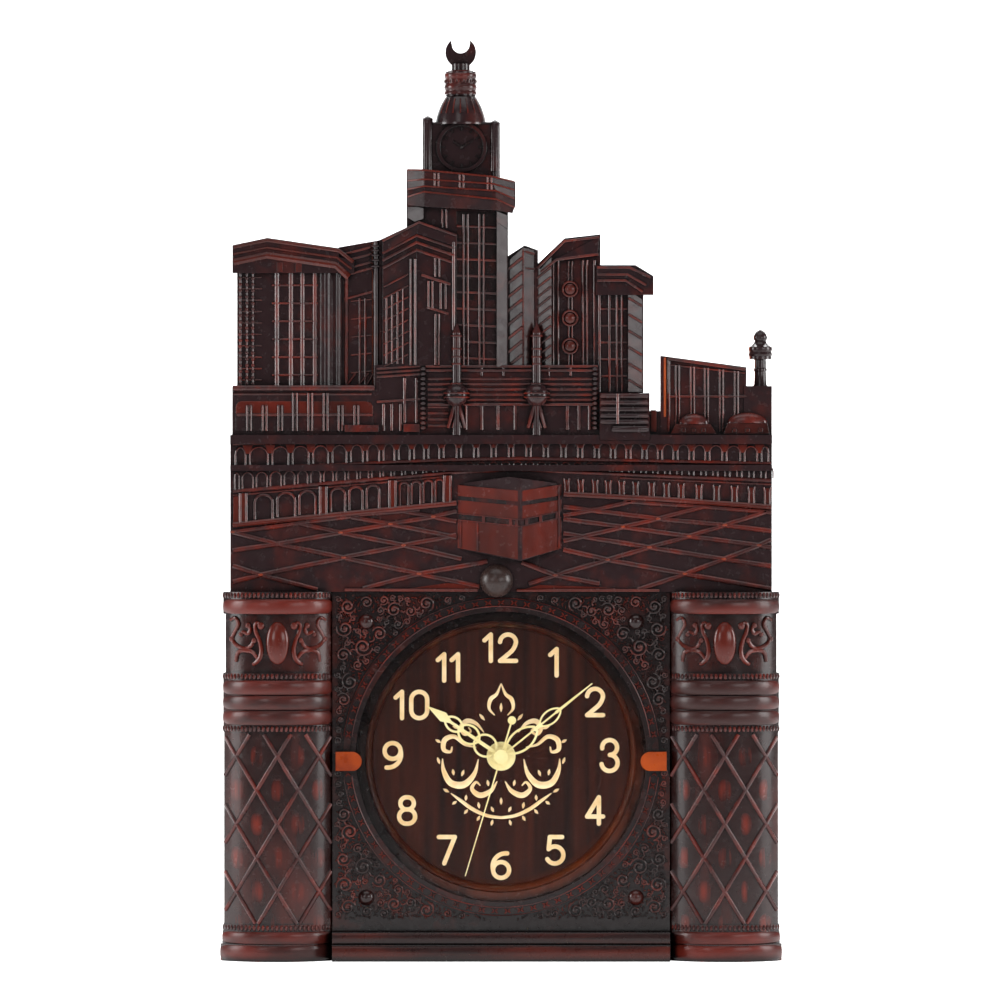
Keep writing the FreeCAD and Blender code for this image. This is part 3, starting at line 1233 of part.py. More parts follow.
def gear_pieces():
    step_wheel_phase = math.radians(val("rotor_angle"))
    rotor_pinion_phase = step_wheel_phase + math.pi + math.pi / int(val("rotor_teeth"))
    step_pinion_phase = math.radians(val("step_angle")) + math.pi
    seconds_phase = math.radians(val("step_angle")) + math.pi / int(val("second_teeth"))
    second_pinion_phase, third_phase = phase_pair("third_angle", "third_teeth")
    third_pinion_phase = math.radians(val("third_angle")) + math.pi
    centre_phase = math.radians(val("third_angle")) + math.pi / int(val("centre_teeth"))
    cannon_phase, motion_phase = phase_pair("motion_angle", "motion_teeth")
    motion_pinion_phase = math.radians(val("motion_angle")) + math.pi
    hour_phase = math.radians(val("motion_angle")) + math.pi / int(val("hour_teeth"))
    wheel, pinion = "wheel_thick", "pinion_thick"
    front_pivot = CASE_INNER + " - pivot_deep + run_gap"
    back_pivot = PLATE_FACE + " + pivot_deep - run_gap"

    magnet = shaft("magnet_radius", "magnet_layer", "magnet_layer + magnet_thick")
    rotor = [gear("rotor_teeth", "rotor_distance", "step_teeth", rotor_pinion_phase,
                  "step_layer - pinion_lap", pinion),
             magnet, shaft("pivot_radius", front_pivot, back_pivot)]
    set_gear("rotor", rotor, ROTOR_ARBOR)
    step = [gear("step_teeth", "rotor_distance", "rotor_teeth", step_wheel_phase, "step_layer",
                 wheel),
            gear("step_pinion", "step_distance", "second_teeth", step_pinion_phase,
                 "second_layer - pinion_lap", "step_layer - second_layer + pinion_lap"),
            shaft("pivot_radius", front_pivot, back_pivot)]
    set_gear("intermediate_wheel", step, STEP_ARBOR)
    seconds = [gear("second_teeth", "step_distance", "step_pinion", seconds_phase, "second_layer",
                    wheel),
               gear("second_pinion", "third_distance", "third_teeth", second_pinion_phase,
                    "third_layer - pinion_lap", "second_layer - third_layer + pinion_lap"),
               shaft("arbor_radius", "-second_level", "second_layer"),
               shaft("pivot_radius", "second_layer", back_pivot)]
    set_gear("seconds_wheel", seconds, AXIS)
    third = [gear("third_teeth", "third_distance", "second_pinion", third_phase, "third_layer",
                  wheel),
             gear("third_pinion", "third_distance", "centre_teeth", third_pinion_phase,
                  "centre_layer - pinion_lap", "third_layer - centre_layer + pinion_lap"),
             shaft("pivot_radius", front_pivot, back_pivot)]
    set_gear("third_wheel", third, THIRD_ARBOR)
    centre = [gear("centre_teeth", "third_distance", "third_pinion", centre_phase, "centre_layer",
                   wheel),
              gear("cannon_teeth", "motion_distance", "motion_teeth", cannon_phase,
                   "cannon_layer - cannon_lap", "centre_layer - cannon_layer + cannon_lap"),
              shaft("minute_tube", "-minute_level - minute_thick", "centre_layer")]
    set_gear("centre_wheel", centre, AXIS, "minute_bore")
    motion = [gear("motion_teeth", "motion_distance", "cannon_teeth", motion_phase, "cannon_layer",
                   wheel),
              gear("motion_pinion", "motion_distance", "hour_teeth", motion_pinion_phase,
                   "motion_layer - cannon_lap", "cannon_layer - motion_layer + cannon_lap"),
              shaft("pivot_radius", front_pivot, "cannon_layer"),
              shaft("knob_shaft", "cannon_layer", "case_back + knob_gap + knob_thick / 2")]
    set_gear("motion_wheel", motion, MOTION_ARBOR)
    hour = [gear("hour_teeth", "motion_distance", "motion_pinion", hour_phase, "motion_layer", wheel),
            shaft("hour_tube", "-hour_level - hour_thick", "motion_layer")]
    set_gear("hour_wheel", hour, AXIS, "hour_bore")


def set_gear(label, solids, arbor, bore_name=None):
    shape = fused(solids)
    if bore_name:
        box = shape.BoundBox
        shape = shape.cut(Part.makeCylinder(val(bore_name), box.YLength, V(0, box.YMin, 0),
                                            V(0, 1, 0)))
    computed(label, shape, "0", *arbor)


def set_knob():
    low = "case_back + knob_gap"
    disc_solid = rod("knob_disc", "knob_radius", low, low + " + knob_thick", MOTION_ARBOR)
    socket = rod("knob_socket", "knob_shaft", low, low + " + knob_thick / 2", MOTION_ARBOR)
    x, z = MOTION_ARBOR
    grip = centred("knob_grip", (x, z), ("knob_radius * 1.4", "knob_slot"),
                   (low + " + knob_thick - knob_slot_deep", low + " + knob_thick"))
    cut("set_knob", disc_solid, [socket, grip])


def motor():
    level = "magnet_layer + magnet_thick / 2"
    middle = ("(%s)" % level, "coil_z")
    rod("motor_coil", "coil_radius", "coil_left", "coil_left + coil_long", middle, "x")
    thick = ("%s - stator_thick / 2" % level, "%s + stator_thick / 2" % level)
    x, z = ROTOR_ARBOR
    blank = block("stator_blank", span(x, "4 * magnet_radius"), thick,
                  ("%s - magnet_radius - stator_under" % z, "coil_z - coil_radius"))
    hole = rod("stator_hole", "magnet_radius + stator_gap", *thick, (x, z))
    cut("motor_stator", blank, [hole])


def movement_circuit():
    block("movement_board", ("circuit_right - circuit_wide", "circuit_right"),
          ("circuit_y", "circuit_y + circuit_thick"), ("circuit_low", "circuit_low + circuit_high"))
    cell_parts("movement_cell", "-(cell_long + nub_long) / 2", ("cell_y", "cell_z"), "x", False)
    strips = []
    for name, side in SIDES:
        inner = "(cell_long + nub_long) / 2 + butt_gap"
        ends = [inner, "case_half - case_wall"]
        if side == "-1":
            ends = ["-(%s)" % ends[1], "-(%s)" % ends[0]]
        strips.append(block("contact_strip_" + name, ends, span("cell_y", "strip_wide"),
                            span("cell_z", "strip_wide")))
    grouped("movement_contacts", strips)


def cell_parts(label, start, centre, axis, nub_first):
    """Round cell with its nub at one end."""
    start = "(%s)" % start
    if nub_first:
        body = (start + " + nub_long", start + " + nub_long + cell_long")
        nub = (start, start + " + nub_long")
    else:
        body = (start, start + " + cell_long")
        nub = (start + " + cell_long", start + " + cell_long + nub_long")
    can = rod(label + "_can", "cell_radius", *body, centre, axis)
    tip = rod(label + "_nub", "nub_radius", *nub, centre, axis)
    return joined(label, [can, tip])


def dial_fixing():
    washer = rod("washer_disc", "washer_radius", "-washer_thick", "0", AXIS)
    hole = rod("washer_hole", "nozzle_radius + run_gap", "-washer_thick", "0", AXIS)
    cut("dial_washer", washer, [hole])
    front = "-washer_thick - nut_thick"
    nut = rod("nut_disc", "nut_radius", front, "-washer_thick", AXIS)
    thread = rod("nut_thread", "nozzle_radius", front, "-washer_thick", AXIS)
    cut("dial_nut", nut, [thread])


# ---------------------------------------------------------------- azan button
BUTTON = ("button_x", "button_z")
CAP_BACK = "(-courtyard_front - button_stand)"


def azan_button():
    body = new_body("azan_button")
    ceiling = "%s - cap_deep" % CAP_BACK
    profile = [("0", "stem_end"), ("0", CAP_BACK + " - button_rise"), ("button_radius", CAP_BACK),
               ("button_radius - cap_wall", CAP_BACK),
               ("button_radius - cap_wall - cap_taper", ceiling), ("stem_radius", ceiling),
               ("stem_radius", "stem_end")]
    curve = "((button_radius ^ 2 + button_rise ^ 2) / (2 * button_rise))"
    turned(body, "XY_Plane", profile, "button_z", "button_x", {1: curve})


def button_fittings():
    face = COURT_BACK + " + retainer_gap"
    ring = rod("retainer_disc", "retainer_radius", face, face + " + retainer_thick", BUTTON)
    hole = rod("retainer_hole", "stem_radius", face, face + " + retainer_thick", BUTTON)
    cut("button_retainer", ring, [hole])
    wire, radius = val("spring_wire"), val("spring_radius")
    long = val("button_stand + cap_deep - 2 * spring_wire - 2 * run_gap")
    helix = Part.makeHelix(long / val("spring_turns"), long, radius)
    section = Part.Wire([Part.Circle(V(radius, 0, 0), V(0, 1, 0), wire).toShape()])
    coil = Part.Wire(helix.Edges).makePipeShell([section], True, True)
    coil.rotate(V(), V(1, 0, 0), 90)
    computed("button_spring", coil, "-courtyard_front - spring_wire - run_gap", "button_x", "button_z")


# ---------------------------------------------------------------- azan unit
def set_places():
    return ["%s * set_pitch" % step for step in (-1.5, -.5, .5, 1.5)]


def sound_board():
    plate_solid = block("board_plate", ("-board_half", "board_half"), ("board_front", BOARD_BACK),
                        ("board_low", "board_up"))
    holes = [rod("board_hole_%d" % i, "screw_radius + hole_gap", "board_front", BOARD_BACK, spot)
             for i, spot in enumerate(BOARD_SCREWS)]
    cut("sound_board", plate_solid, holes)
    screws = [screw("board_screw_%d" % i, x, z, BOARD_BACK, "board_thick + board_grip")
              for i, (x, z) in enumerate(BOARD_SCREWS)]
    grouped("board_screws", screws)


def tact_switches():
    parts = []
    side = ("tact_side", "tact_side")
    case_front = "board_front - tact_high"
    case = centred("azan_tact_case", BUTTON, side, (case_front, "board_front"))
    plunger = rod("azan_tact_plunger", "plunger_radius", case_front + " - plunger_high", case_front,
                  BUTTON)
    parts.append(joined("azan_tact", [case, plunger]))
    for i, x in enumerate(set_places()):
        top = BOARD_BACK + " + tact_high"
        case = centred("set_tact_case_%d" % i, (x, "set_z"), side, (BOARD_BACK, top))
        plunger = rod("set_tact_plunger_%d" % i, "plunger_radius", top, top + " + plunger_high",
                      (x, "set_z"))
        parts.append(joined("set_tact_%d" % i, [case, plunger]))
    grouped("tact_switches", parts)


def set_buttons():
    foot = BOARD_BACK + " + tact_high + plunger_high + set_play"
    flange_top = COVER_FACE + " - hole_gap"
    for i, x in enumerate(set_places()):
        spot = (x, "set_z")
        label = "set_button_%d" % (i + 1)
        cap = rod(label + "_cap", "set_radius", flange_top, "back_deep - flush_gap", spot)
        flange = rod(label + "_flange", "set_flange", flange_top + " - set_flange_thick",
                     flange_top, spot)
        stem = rod(label + "_stem", "set_stem", foot, flange_top + " - set_flange_thick", spot)
        joined(label, [cap, flange, stem])


def display():
    centred("setting_display", ("0", "display_z"), ("display_wide", "display_high"),
            (BOARD_BACK, "display_back"))
    rim = "2 * window_rim - fit_gap"
    centred("display_window", ("0", "display_z"), ("display_wide + " + rim, "display_high + " + rim),
            ("back_deep - window_thick", "back_deep"))


def volume_control():
    spot = ("volume_x", "volume_z")
    top = BOARD_BACK + " + pot_high"
    case = centred("pot_case", spot, ("pot_side", "pot_side"), (BOARD_BACK, top))
    socket = rod("pot_socket", "volume_shaft + run_gap", BOARD_BACK + " + sink", top, spot)
    cut("volume_pot", case, [socket])
    stem = rod("volume_stem", "volume_shaft", BOARD_BACK + " + sink + butt_gap", "volume_low",
               spot)
    cap = rod("volume_cap", "volume_radius", "volume_low", "back_deep - flush_gap", spot)
    grip = centred("volume_grip", spot, ("1.4 * volume_radius", "volume_slot"),
                   ("back_deep - flush_gap - volume_slot_deep", "back_deep"))
    cut("volume_knob", joined("volume_solid", [stem, cap]), [grip])


def power_control():
    spot = ("switch_x", "volume_z")
    top = BOARD_BACK + " + switch_high"
    case = centred("switch_case", spot, ("switch_wide", "switch_tall"), (BOARD_BACK, top))
    groove = centred("switch_groove", spot, ("lever_side + switch_travel + 2 * fit_gap",
                                             "lever_side + 2 * fit_gap"),
                     (top + " - lever_foot - butt_gap", top))
    cut("slide_switch", case, [groove])
    centred("power_switch", ("switch_x - switch_travel / 2", "volume_z"),
            ("lever_side", "lever_side"), (top + " - lever_foot", "back_deep - flush_gap"))


# ---------------------------------------------------------------- loudspeaker
def speaker_screw_places():
    return [polar("speaker_screw", str(45 + 90 * i), ("speaker_x", "speaker_z")) for i in range(4)]


def speaker():
    frame = new_body("speaker_frame")
    rim = COVER_FACE + " - speaker_rim"
    inner = "basket_radius - basket_lip"
    profile = [(inner, COVER_FACE), ("speaker_radius", COVER_FACE), ("speaker_radius", rim),
               ("basket_radius", rim), ("basket_end", "basket_back"),
               ("basket_hole", "basket_back"), ("basket_hole", "basket_back + speaker_rim"),
               ("basket_end - basket_sheet", "basket_back + speaker_rim"),
               (inner, COVER_FACE + " - basket_sheet")]
    turned(frame, "XY_Plane", profile, "speaker_z", "speaker_x")
    rod("speaker_magnet", "magnet_block", "basket_back - magnet_block_thick", "basket_back",
        ("speaker_x", "speaker_z"))
    cone = new_body("speaker_cone")
    low = "basket_back + cone_rise"
    edge = COVER_FACE + " - cone_sunk"
    profile = [("0", low), ("cone_centre", low), ("cone_radius", edge),
               ("cone_radius", edge + " + cone_thick"), ("cone_centre - fit_gap", low + " + cone_thick"),
               ("0", low + " + cone_thick")]
    turned(cone, "XY_Plane", profile, "speaker_z", "speaker_x")
    screws = []
    face = COVER_FACE + " - speaker_rim"
    for i, spot in enumerate(speaker_screw_places()):
        shank = rod("speaker_screw_shank_%d" % i, "speaker_screw_radius", face,
                    "back_deep - speaker_screw_cover - run_gap", spot)
        head = rod("speaker_screw_head_%d" % i, "head_radius", face + " - head_high", face, spot)
        screws.append(joined("speaker_screw_%d" % i, [shank, head]))
    grouped("speaker_screws", screws)


# ---------------------------------------------------------------- battery box
def cell_places():
    count = int(val("cell_row"))
    return ["box_x + %s * cell_pitch" % (i - (count - 1) / 2) for i in range(count)]


def battery_parts():
    cells, contacts = [], []
    low = "(box_z - cell_long / 2 - nub_long / 2)"
    up = "(box_z + cell_long / 2 + nub_long / 2)"
    for i, x in enumerate(cell_places()):
        cells.append(cell_parts("aa_cell_%d" % i, low, (x, "cell_centre"), "z", i % 2 == 1))
        under, over = low + " - contact_thick", up + " + contact_thick"
        for name, ends, bump in (("low", (under, under + " + strip_thick"), (under, low)),
                                 ("up", (over + " - strip_thick", over), (up, over))):
            label = "cell_contact_%s_%d" % (name, i)
            strip = block(label + "_strip", span(x, "strip_wide"),
                          span("cell_centre", "strip_wide"), ends)
            nub = rod(label + "_bump", "contact_bump", *bump, (x, "cell_centre"), "z")
            contacts.append(joined(label, [strip, nub]))
    grouped("aa_cells", cells)
    grouped("battery_contacts", contacts)
    gap = "2 * box_wall - 2 * door_gap"
    centred("battery_door", ("box_x", "box_z"), (BOX_WIDE + " + " + gap, BOX_HIGH + " + " + gap),
            ("back_deep - door_thick", "back_deep"))


# ---------------------------------------------------------------- wires
def wire_tube(points, radius):
    """Round wire along straight runs joined by tangent arcs."""
    edges = []
    here = points[0]
    for i in range(1, len(points) - 1):
        before, after = points[i - 1] - points[i], points[i + 1] - points[i]
        half_turn = (math.pi - before.getAngle(after)) / 2
        back = .45 * min(before.Length, after.Length)
        start = points[i] + V(before).normalize() * back
        end = points[i] + V(after).normalize() * back
        toward = (V(before).normalize() + V(after).normalize()).normalize()
        bend = back / math.tan(half_turn)
        middle = points[i] + toward * (bend / math.cos(half_turn) - bend)
        edges.append(Part.LineSegment(here, start).toShape())
        edges.append(Part.Arc(start, middle, end).toShape())
        here = end
    edges.append(Part.LineSegment(here, points[-1]).toShape())
    path = Part.Wire(edges)
    direction = (points[1] - points[0]).normalize()
    section = Part.Wire([Part.Circle(points[0], direction, radius).toShape()])
    return path.makePipeShell([section], True, False)


def wires():
    """Pairs from the board to the loudspeaker and to the battery box."""
    radius, lap = val("wire_radius"), val("wire_lap")
    dip, sway = val("wire_dip"), val("wire_sway")
    level = val("board_front - run_gap") - radius
    basket = val("speaker_x + basket_end + wire_end")
    box = val("box_x - %s / 2 - box_wall - run_gap" % BOX_WIDE)
    edge = val("board_half")
    solids = []
    for start, end, lift in ((-edge, basket, sway), (edge, box, 2 * dip)):
        inward = math.copysign(lap, -start)
        for i in range(2):
            z = val("wire_z") + i * val("wire_pitch")
            points = [V(start + inward, level, z),
                      V(start + .3 * (end - start), level - dip, z + sway),
                      V(start + .6 * (end - start), level + dip / 2, z - 2 * sway),
                      V(end, level + lift, z - sway)]
            solids.append(wire_tube(points, radius))
    computed("wires", Part.makeCompound(solids))


# ---------------------------------------------------------------- assembly
def build():
    dial_frame()
    for name, side in SIDES:
        pillar(name, side)
        lens_clip(name, side)
    pillar_screws()
    skyline_panel()
    back_cover()
    cover_screws()
    corner_studs()
    lens()
    dial_plate()
    dial_screws()
    dial_numerals()
    dial_ornament()
    hour_hand()
    minute_hand()
    second_hand()
    movement_case()
    movement_cover()
    gear_pieces()
    set_knob()
    motor()
    movement_circuit()
    dial_fixing()
    azan_button()
    button_fittings()
    sound_board()
    tact_switches()
    set_buttons()
    display()
    volume_control()
    power_control()
    speaker()
    battery_parts()
    wires()
    doc.recompute()


NODES = """dial_frame pillar_left pillar_right lens_clip_left lens_clip_right pillar_screws
skyline_panel back_cover cover_screws corner_studs lens dial_plate dial_screws dial_numerals
dial_ornament hour_hand minute_hand second_hand movement_case movement_cover rotor
intermediate_wheel seconds_wheel third_wheel centre_wheel motion_wheel hour_wheel set_knob
motor_coil motor_stator movement_board movement_cell movement_contacts dial_washer dial_nut
azan_button button_retainer button_spring sound_board board_screws tact_switches set_button_1
set_button_2 set_button_3 set_button_4 setting_display display_window volume_pot volume_knob
slide_switch power_switch speaker_frame speaker_magnet speaker_cone speaker_screws aa_cells
battery_contacts battery_door wires""".split()


def write_parts():
    for thing in doc.Objects:
        if "Invalid" in thing.State or "Error" in thing.State:
            raise RuntimeError("failed: " + thing.Label)
    pieces = {thing.Label: thing for thing in doc.Objects}
    for label in NODES:
        shape = pieces[label].Shape
        if shape.isNull() or not shape.isValid():
            raise RuntimeError("bad shape: " + label)
    os.makedirs("parts", exist_ok=True)
    for label in NODES:
        pieces[label].Shape.exportStep("parts/%s.step" % label)


build()
write_parts()
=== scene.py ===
import random
from math import asin, cos, hypot, pi, radians, sin, sqrt

import bmesh
import bpy
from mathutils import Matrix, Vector
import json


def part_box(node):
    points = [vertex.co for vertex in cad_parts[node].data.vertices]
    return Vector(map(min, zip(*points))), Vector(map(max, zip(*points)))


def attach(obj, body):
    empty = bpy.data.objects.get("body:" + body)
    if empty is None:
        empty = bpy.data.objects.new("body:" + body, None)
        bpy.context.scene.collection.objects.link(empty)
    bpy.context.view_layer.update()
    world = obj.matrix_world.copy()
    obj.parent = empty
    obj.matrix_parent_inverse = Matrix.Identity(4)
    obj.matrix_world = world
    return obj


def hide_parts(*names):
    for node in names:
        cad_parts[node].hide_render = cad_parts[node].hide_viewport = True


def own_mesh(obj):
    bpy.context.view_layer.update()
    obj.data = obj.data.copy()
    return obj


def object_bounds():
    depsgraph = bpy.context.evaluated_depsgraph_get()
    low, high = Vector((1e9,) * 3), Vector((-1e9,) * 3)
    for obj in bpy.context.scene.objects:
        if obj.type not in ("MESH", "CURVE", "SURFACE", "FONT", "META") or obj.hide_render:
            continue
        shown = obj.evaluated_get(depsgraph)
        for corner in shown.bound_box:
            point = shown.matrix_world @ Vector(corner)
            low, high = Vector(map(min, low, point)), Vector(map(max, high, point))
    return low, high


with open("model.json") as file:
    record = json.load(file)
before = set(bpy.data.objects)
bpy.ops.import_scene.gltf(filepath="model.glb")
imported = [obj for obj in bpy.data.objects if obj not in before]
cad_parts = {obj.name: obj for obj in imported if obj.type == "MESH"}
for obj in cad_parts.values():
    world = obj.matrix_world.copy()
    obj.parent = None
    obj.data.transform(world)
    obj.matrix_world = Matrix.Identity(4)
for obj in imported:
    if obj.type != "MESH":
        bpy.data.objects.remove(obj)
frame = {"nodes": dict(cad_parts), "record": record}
nodes = frame["nodes"]
cad_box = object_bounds()
MM = 0.001
FULL = 2 * pi

# The front drawing is on a grid of half millimetres, x from the left and y from the top.
GRID = 0.5
GRID_X = 501.5
GRID_FLOOR = 961.0
DIAL_Z = 102.0


def spot(gx, gy):
    """Place (x, z) in mm of a point of the front drawing."""
    return (gx - GRID_X) * GRID, (GRID_FLOOR - gy) * GRID


def across(gx):
    return spot(gx, 0)[0]


def height(gy):
    return spot(0, gy)[1]


PILLAR_INNER = 84.5
SHAFT_HALF = 27.1
# Half width and half height of the diamonds of the pillars' lattice, and height of a crossing.
LATTICE_X, LATTICE_Z = 10.2, 16.9
LATTICE_NODE = height(756)


# ------------------------------------------------------------------ materials
def new_material(name):
    mat = bpy.data.materials.new(name)
    mat.use_nodes = True
    return mat, mat.node_tree, mat.node_tree.nodes["Principled BSDF"]


def rgb(red, green, blue):
    """Linear colour from one written in 0 to 255 as a screen shows it."""
    return tuple((value / 255) ** 2.2 for value in (red, green, blue)) + (1.0,)


def plug(tree, socket, source):
    """Set a socket to a plain value, or link it to another node's output."""
    if isinstance(source, (tuple, float, int)):
        socket.default_value = source
    else:
        tree.links.new(source, socket)


def ramp_node(tree, factor, low, high):
    """Colour between two, each given as (place, colour)."""
    ramp = tree.nodes.new("ShaderNodeValToRGB")
    for element, (place, color) in zip(ramp.color_ramp.elements, (low, high)):
        element.position, element.color = place, color
    tree.links.new(factor, ramp.inputs["Fac"])
    return ramp.outputs["Color"]


def noise_node(tree, scale, detail=4.0, stretch=(1, 1, 1)):
    coords = tree.nodes.new("ShaderNodeTexCoord")
    mapping = tree.nodes.new("ShaderNodeMapping")
    mapping.inputs["Scale"].default_value = stretch
    tex = tree.nodes.new("ShaderNodeTexNoise")
    for name, value in (("Scale", scale), ("Detail", detail), ("Roughness", 0.55)):
        tex.inputs[name].default_value = value
    tree.links.new(coords.outputs["Object"], mapping.inputs["Vector"])
    tree.links.new(mapping.outputs["Vector"], tex.inputs["Vector"])
    return tex.outputs["Fac"]


def mix_node(tree, factor, low, high):
    mix = tree.nodes.new("ShaderNodeMix")
    mix.data_type = "RGBA"
    for socket, source in ((mix.inputs[0], factor), (mix.inputs[6], low), (mix.inputs[7], high)):
        plug(tree, socket, source)
    return mix.outputs[2]


def ranged(tree, source, low, high, start=0.3, end=0.7):
    node = tree.nodes.new("ShaderNodeMapRange")
    for name, value in (("From Min", start), ("From Max", end), ("To Min", low), ("To Max", high)):
        node.inputs[name].default_value = value
    tree.links.new(source, node.inputs["Value"])
    return node.outputs["Result"]


def math_node(tree, operation, first, second):
    node = tree.nodes.new("ShaderNodeMath")
    node.operation = operation
    for socket, source in zip(node.inputs, (first, second)):
        plug(tree, socket, source)
    return node.outputs[0]


def product(tree, first, *others):
    for other in others:
        first = math_node(tree, "MULTIPLY", first, other)
    return first


def distance(tree, *offsets):
    """Length of the vector with these parts."""
    total = 0.0
    for offset in offsets:
        total = math_node(tree, "ADD", product(tree, offset, offset), total)
    return math_node(tree, "SQRT", total, 0.0)


def axes(tree, vector):
    apart = tree.nodes.new("ShaderNodeSeparateXYZ")
    tree.links.new(vector, apart.inputs["Vector"])
    return apart.outputs


def places(tree):
    """X, Y and Z of the place on the object."""
    return axes(tree, tree.nodes.new("ShaderNodeTexCoord").outputs["Object"])


def recess_shade(tree, reach):
    """Painted shade: how open a place is, 0 in a tight recess and 1 on an open face, for darkening
    recesses.
    """
    node = tree.nodes.new("ShaderNodeAmbientOcclusion")
    node.samples = 6
    node.inputs["Distance"].default_value = reach
    return ranged(tree, node.outputs["AO"], 0.0, 1.0, 0.45, 0.95)


def finish_off(tree, shader, grain, rough, bump, depth, **numbers):
    """Roughness and bump from two grains, and the shader's plain numbers."""
    shading, relief = grain
    tree.links.new(ranged(tree, shading, *rough), shader.inputs["Roughness"])
    node = tree.nodes.new("ShaderNodeBump")
    node.inputs["Strength"].default_value = bump
    node.inputs["Distance"].default_value = depth
    tree.links.new(relief, node.inputs["Height"])
    tree.links.new(node.outputs["Normal"], shader.inputs["Normal"])
    for name, value in numbers.items():
        shader.inputs[name.replace("_", " ")].default_value = value


def bare_amber(tree, color):
    """Unpainted amber plastic on walls that face left, low down, and on all that lies far back."""
    tint, side_y, back_y = rgb(168, 72, 14), -0.006, 0.004
    normal = tree.nodes.new("ShaderNodeNewGeometry").outputs["Normal"]
    place = places(tree)
    leftwards = ranged(tree, axes(tree, normal)["X"], 1.0, 0.0, -0.97, -0.85)
    behind = ranged(tree, place["Y"], 0.0, 1.0, side_y, side_y + 0.002)
    low = ranged(tree, place["Z"], 1.0, 0.0, 0.383, 0.39)
    deep = ranged(tree, place["Y"], 0.0, 1.0, back_y, back_y + 0.003)
    either = math_node(tree, "MAXIMUM", product(tree, leftwards, behind, low), deep)
    return mix_node(tree, either, color, tint)


def mouldings(name, dark, mid, worn, wear, scale=55.0, stretch=(1, 1, 1), rough=(0.16, 0.3),
              coat=0.12, reach=0.004, amber=False):
    """Glossy brown moulded plastic, with painted shade that turns it black in its recesses, and
    rubbed to red where it is high.
    """
    mat, tree, shader = new_material("mahogany_" + name)
    tint = ramp_node(tree, noise_node(tree, scale, 5.0, stretch),
                     (wear - 0.12, rgb(*mid)), (wear + 0.12, rgb(*worn)))
    # painted shade: the first colour fills the recesses where shade falls
    color = mix_node(tree, recess_shade(tree, reach), rgb(*dark), tint)
    if amber:
        color = bare_amber(tree, color)
    tree.links.new(color, shader.inputs["Base Color"])
    grains = noise_node(tree, 260.0, 3.0), noise_node(tree, 190.0, 4.0)
    finish_off(tree, shader, grains, rough, 0.25, 0.0003, Coat_Weight=coat, Coat_Roughness=0.12,
               Specular_IOR_Level=0.22)
    return mat


def surface(name, low, high, rough, scale=60.0, stretch=(1, 1, 1), bump=0.2, depth=0.0002,
            metallic=0.0, coat=0.0, alpha=1.0, sheen=0.0, fine=300.0, spread=0.15, shine=0.4):
    """A finish that varies between two colours, with a grain in its bump and roughness."""
    mat, tree, shader = new_material(name)
    tint = ramp_node(tree, noise_node(tree, scale, 5.0, stretch),
                     (0.5 - spread, rgb(*low)), (0.5 + spread, rgb(*high)))
    tree.links.new(tint, shader.inputs["Base Color"])
    grain = noise_node(tree, fine, 3.0, stretch)
    finish_off(tree, shader, (grain, grain), rough, bump, depth, Metallic=metallic,
               Coat_Weight=coat, Alpha=alpha, Sheen_Weight=sheen, Specular_IOR_Level=shine)
    return mat


def lay_wear_or_light(mat, share, tint):
    """Lay a colour over a finish, used for rubbed-through streaks and for painted light; share
    gives where, from the material's tree.
    """
    tree, color = mat.node_tree, mat.node_tree.nodes["Principled BSDF"].inputs["Base Color"]
    painted_over = color.links[0].from_socket
    tree.links.new(mix_node(tree, share(tree), painted_over, rgb(*tint)), color)


def lattice_cells(tree):
    """Upright streaks in the middle of each diamond of the pillars' lattice."""
    place = places(tree)
    outwards = math_node(tree, "ABSOLUTE", place["X"], 0.0)
    waves = []
    for source, start, step in ((outwards, PILLAR_INNER + SHAFT_HALF, LATTICE_X),
                                (place["Z"], LATTICE_NODE, LATTICE_Z)):
        offset = math_node(tree, "SUBTRACT", source, start * MM)
        waves.append(math_node(tree, "COSINE", product(tree, offset, pi / (step * MM)), 0.0))
    cell = ranged(tree, product(tree, *waves), 1.0, 0.0, -1.0, -0.45)
    streak = ranged(tree, noise_node(tree, 90.0, 4.0, (3.0, 1.0, 0.25)), 0.0, 1.0, 0.42, 0.62)
    below = ranged(tree, place["Z"], 1.0, 0.0, 0.112, 0.114)
    return product(tree, cell, streak, below)


def painted_light_ring(inner, outer, fade):
    """Painted light: a ring round the dial's middle, lit strongest below and to the right, in
    patches.
    """
    def share(tree):
        place = places(tree)
        rise = math_node(tree, "SUBTRACT", place["Z"], DIAL_Z * MM)
        radius = distance(tree, place["X"], rise)
        # lean grows towards the lower right, where the painted light is strongest
        lean = math_node(tree, "SUBTRACT", product(tree, place["X"], 0.75), rise)
        return product(tree, ranged(tree, radius, 0.0, 1.0, inner - fade, inner + fade),
                       ranged(tree, radius, 1.0, 0.0, outer - fade, outer + fade),
                       ranged(tree, lean, 0.08, 1.0, 0.005, 0.075),
                       ranged(tree, noise_node(tree, 60.0), 0.35, 1.0, 0.35, 0.6))
    return share


# The first colour of each finish is its painted shade in the recesses.
painted = mouldings("body", (14, 7, 7), (40, 28, 29), (68, 31, 27), 0.63, amber=True)
ridged = mouldings("ridge", (22, 10, 9), (56, 33, 32), (92, 32, 23), 0.56, 90.0)
rubbed = mouldings("rubbed", (20, 8, 7), (58, 27, 23), (84, 31, 23), 0.5, 40.0, (1, 1, 0.35))
# painted highlight: brighter orange for the raised knots where the floor's ribs cross
knot_highlight = mouldings("knots", (40, 16, 10), (84, 34, 22), (126, 47, 22), 0.5, 90.0)
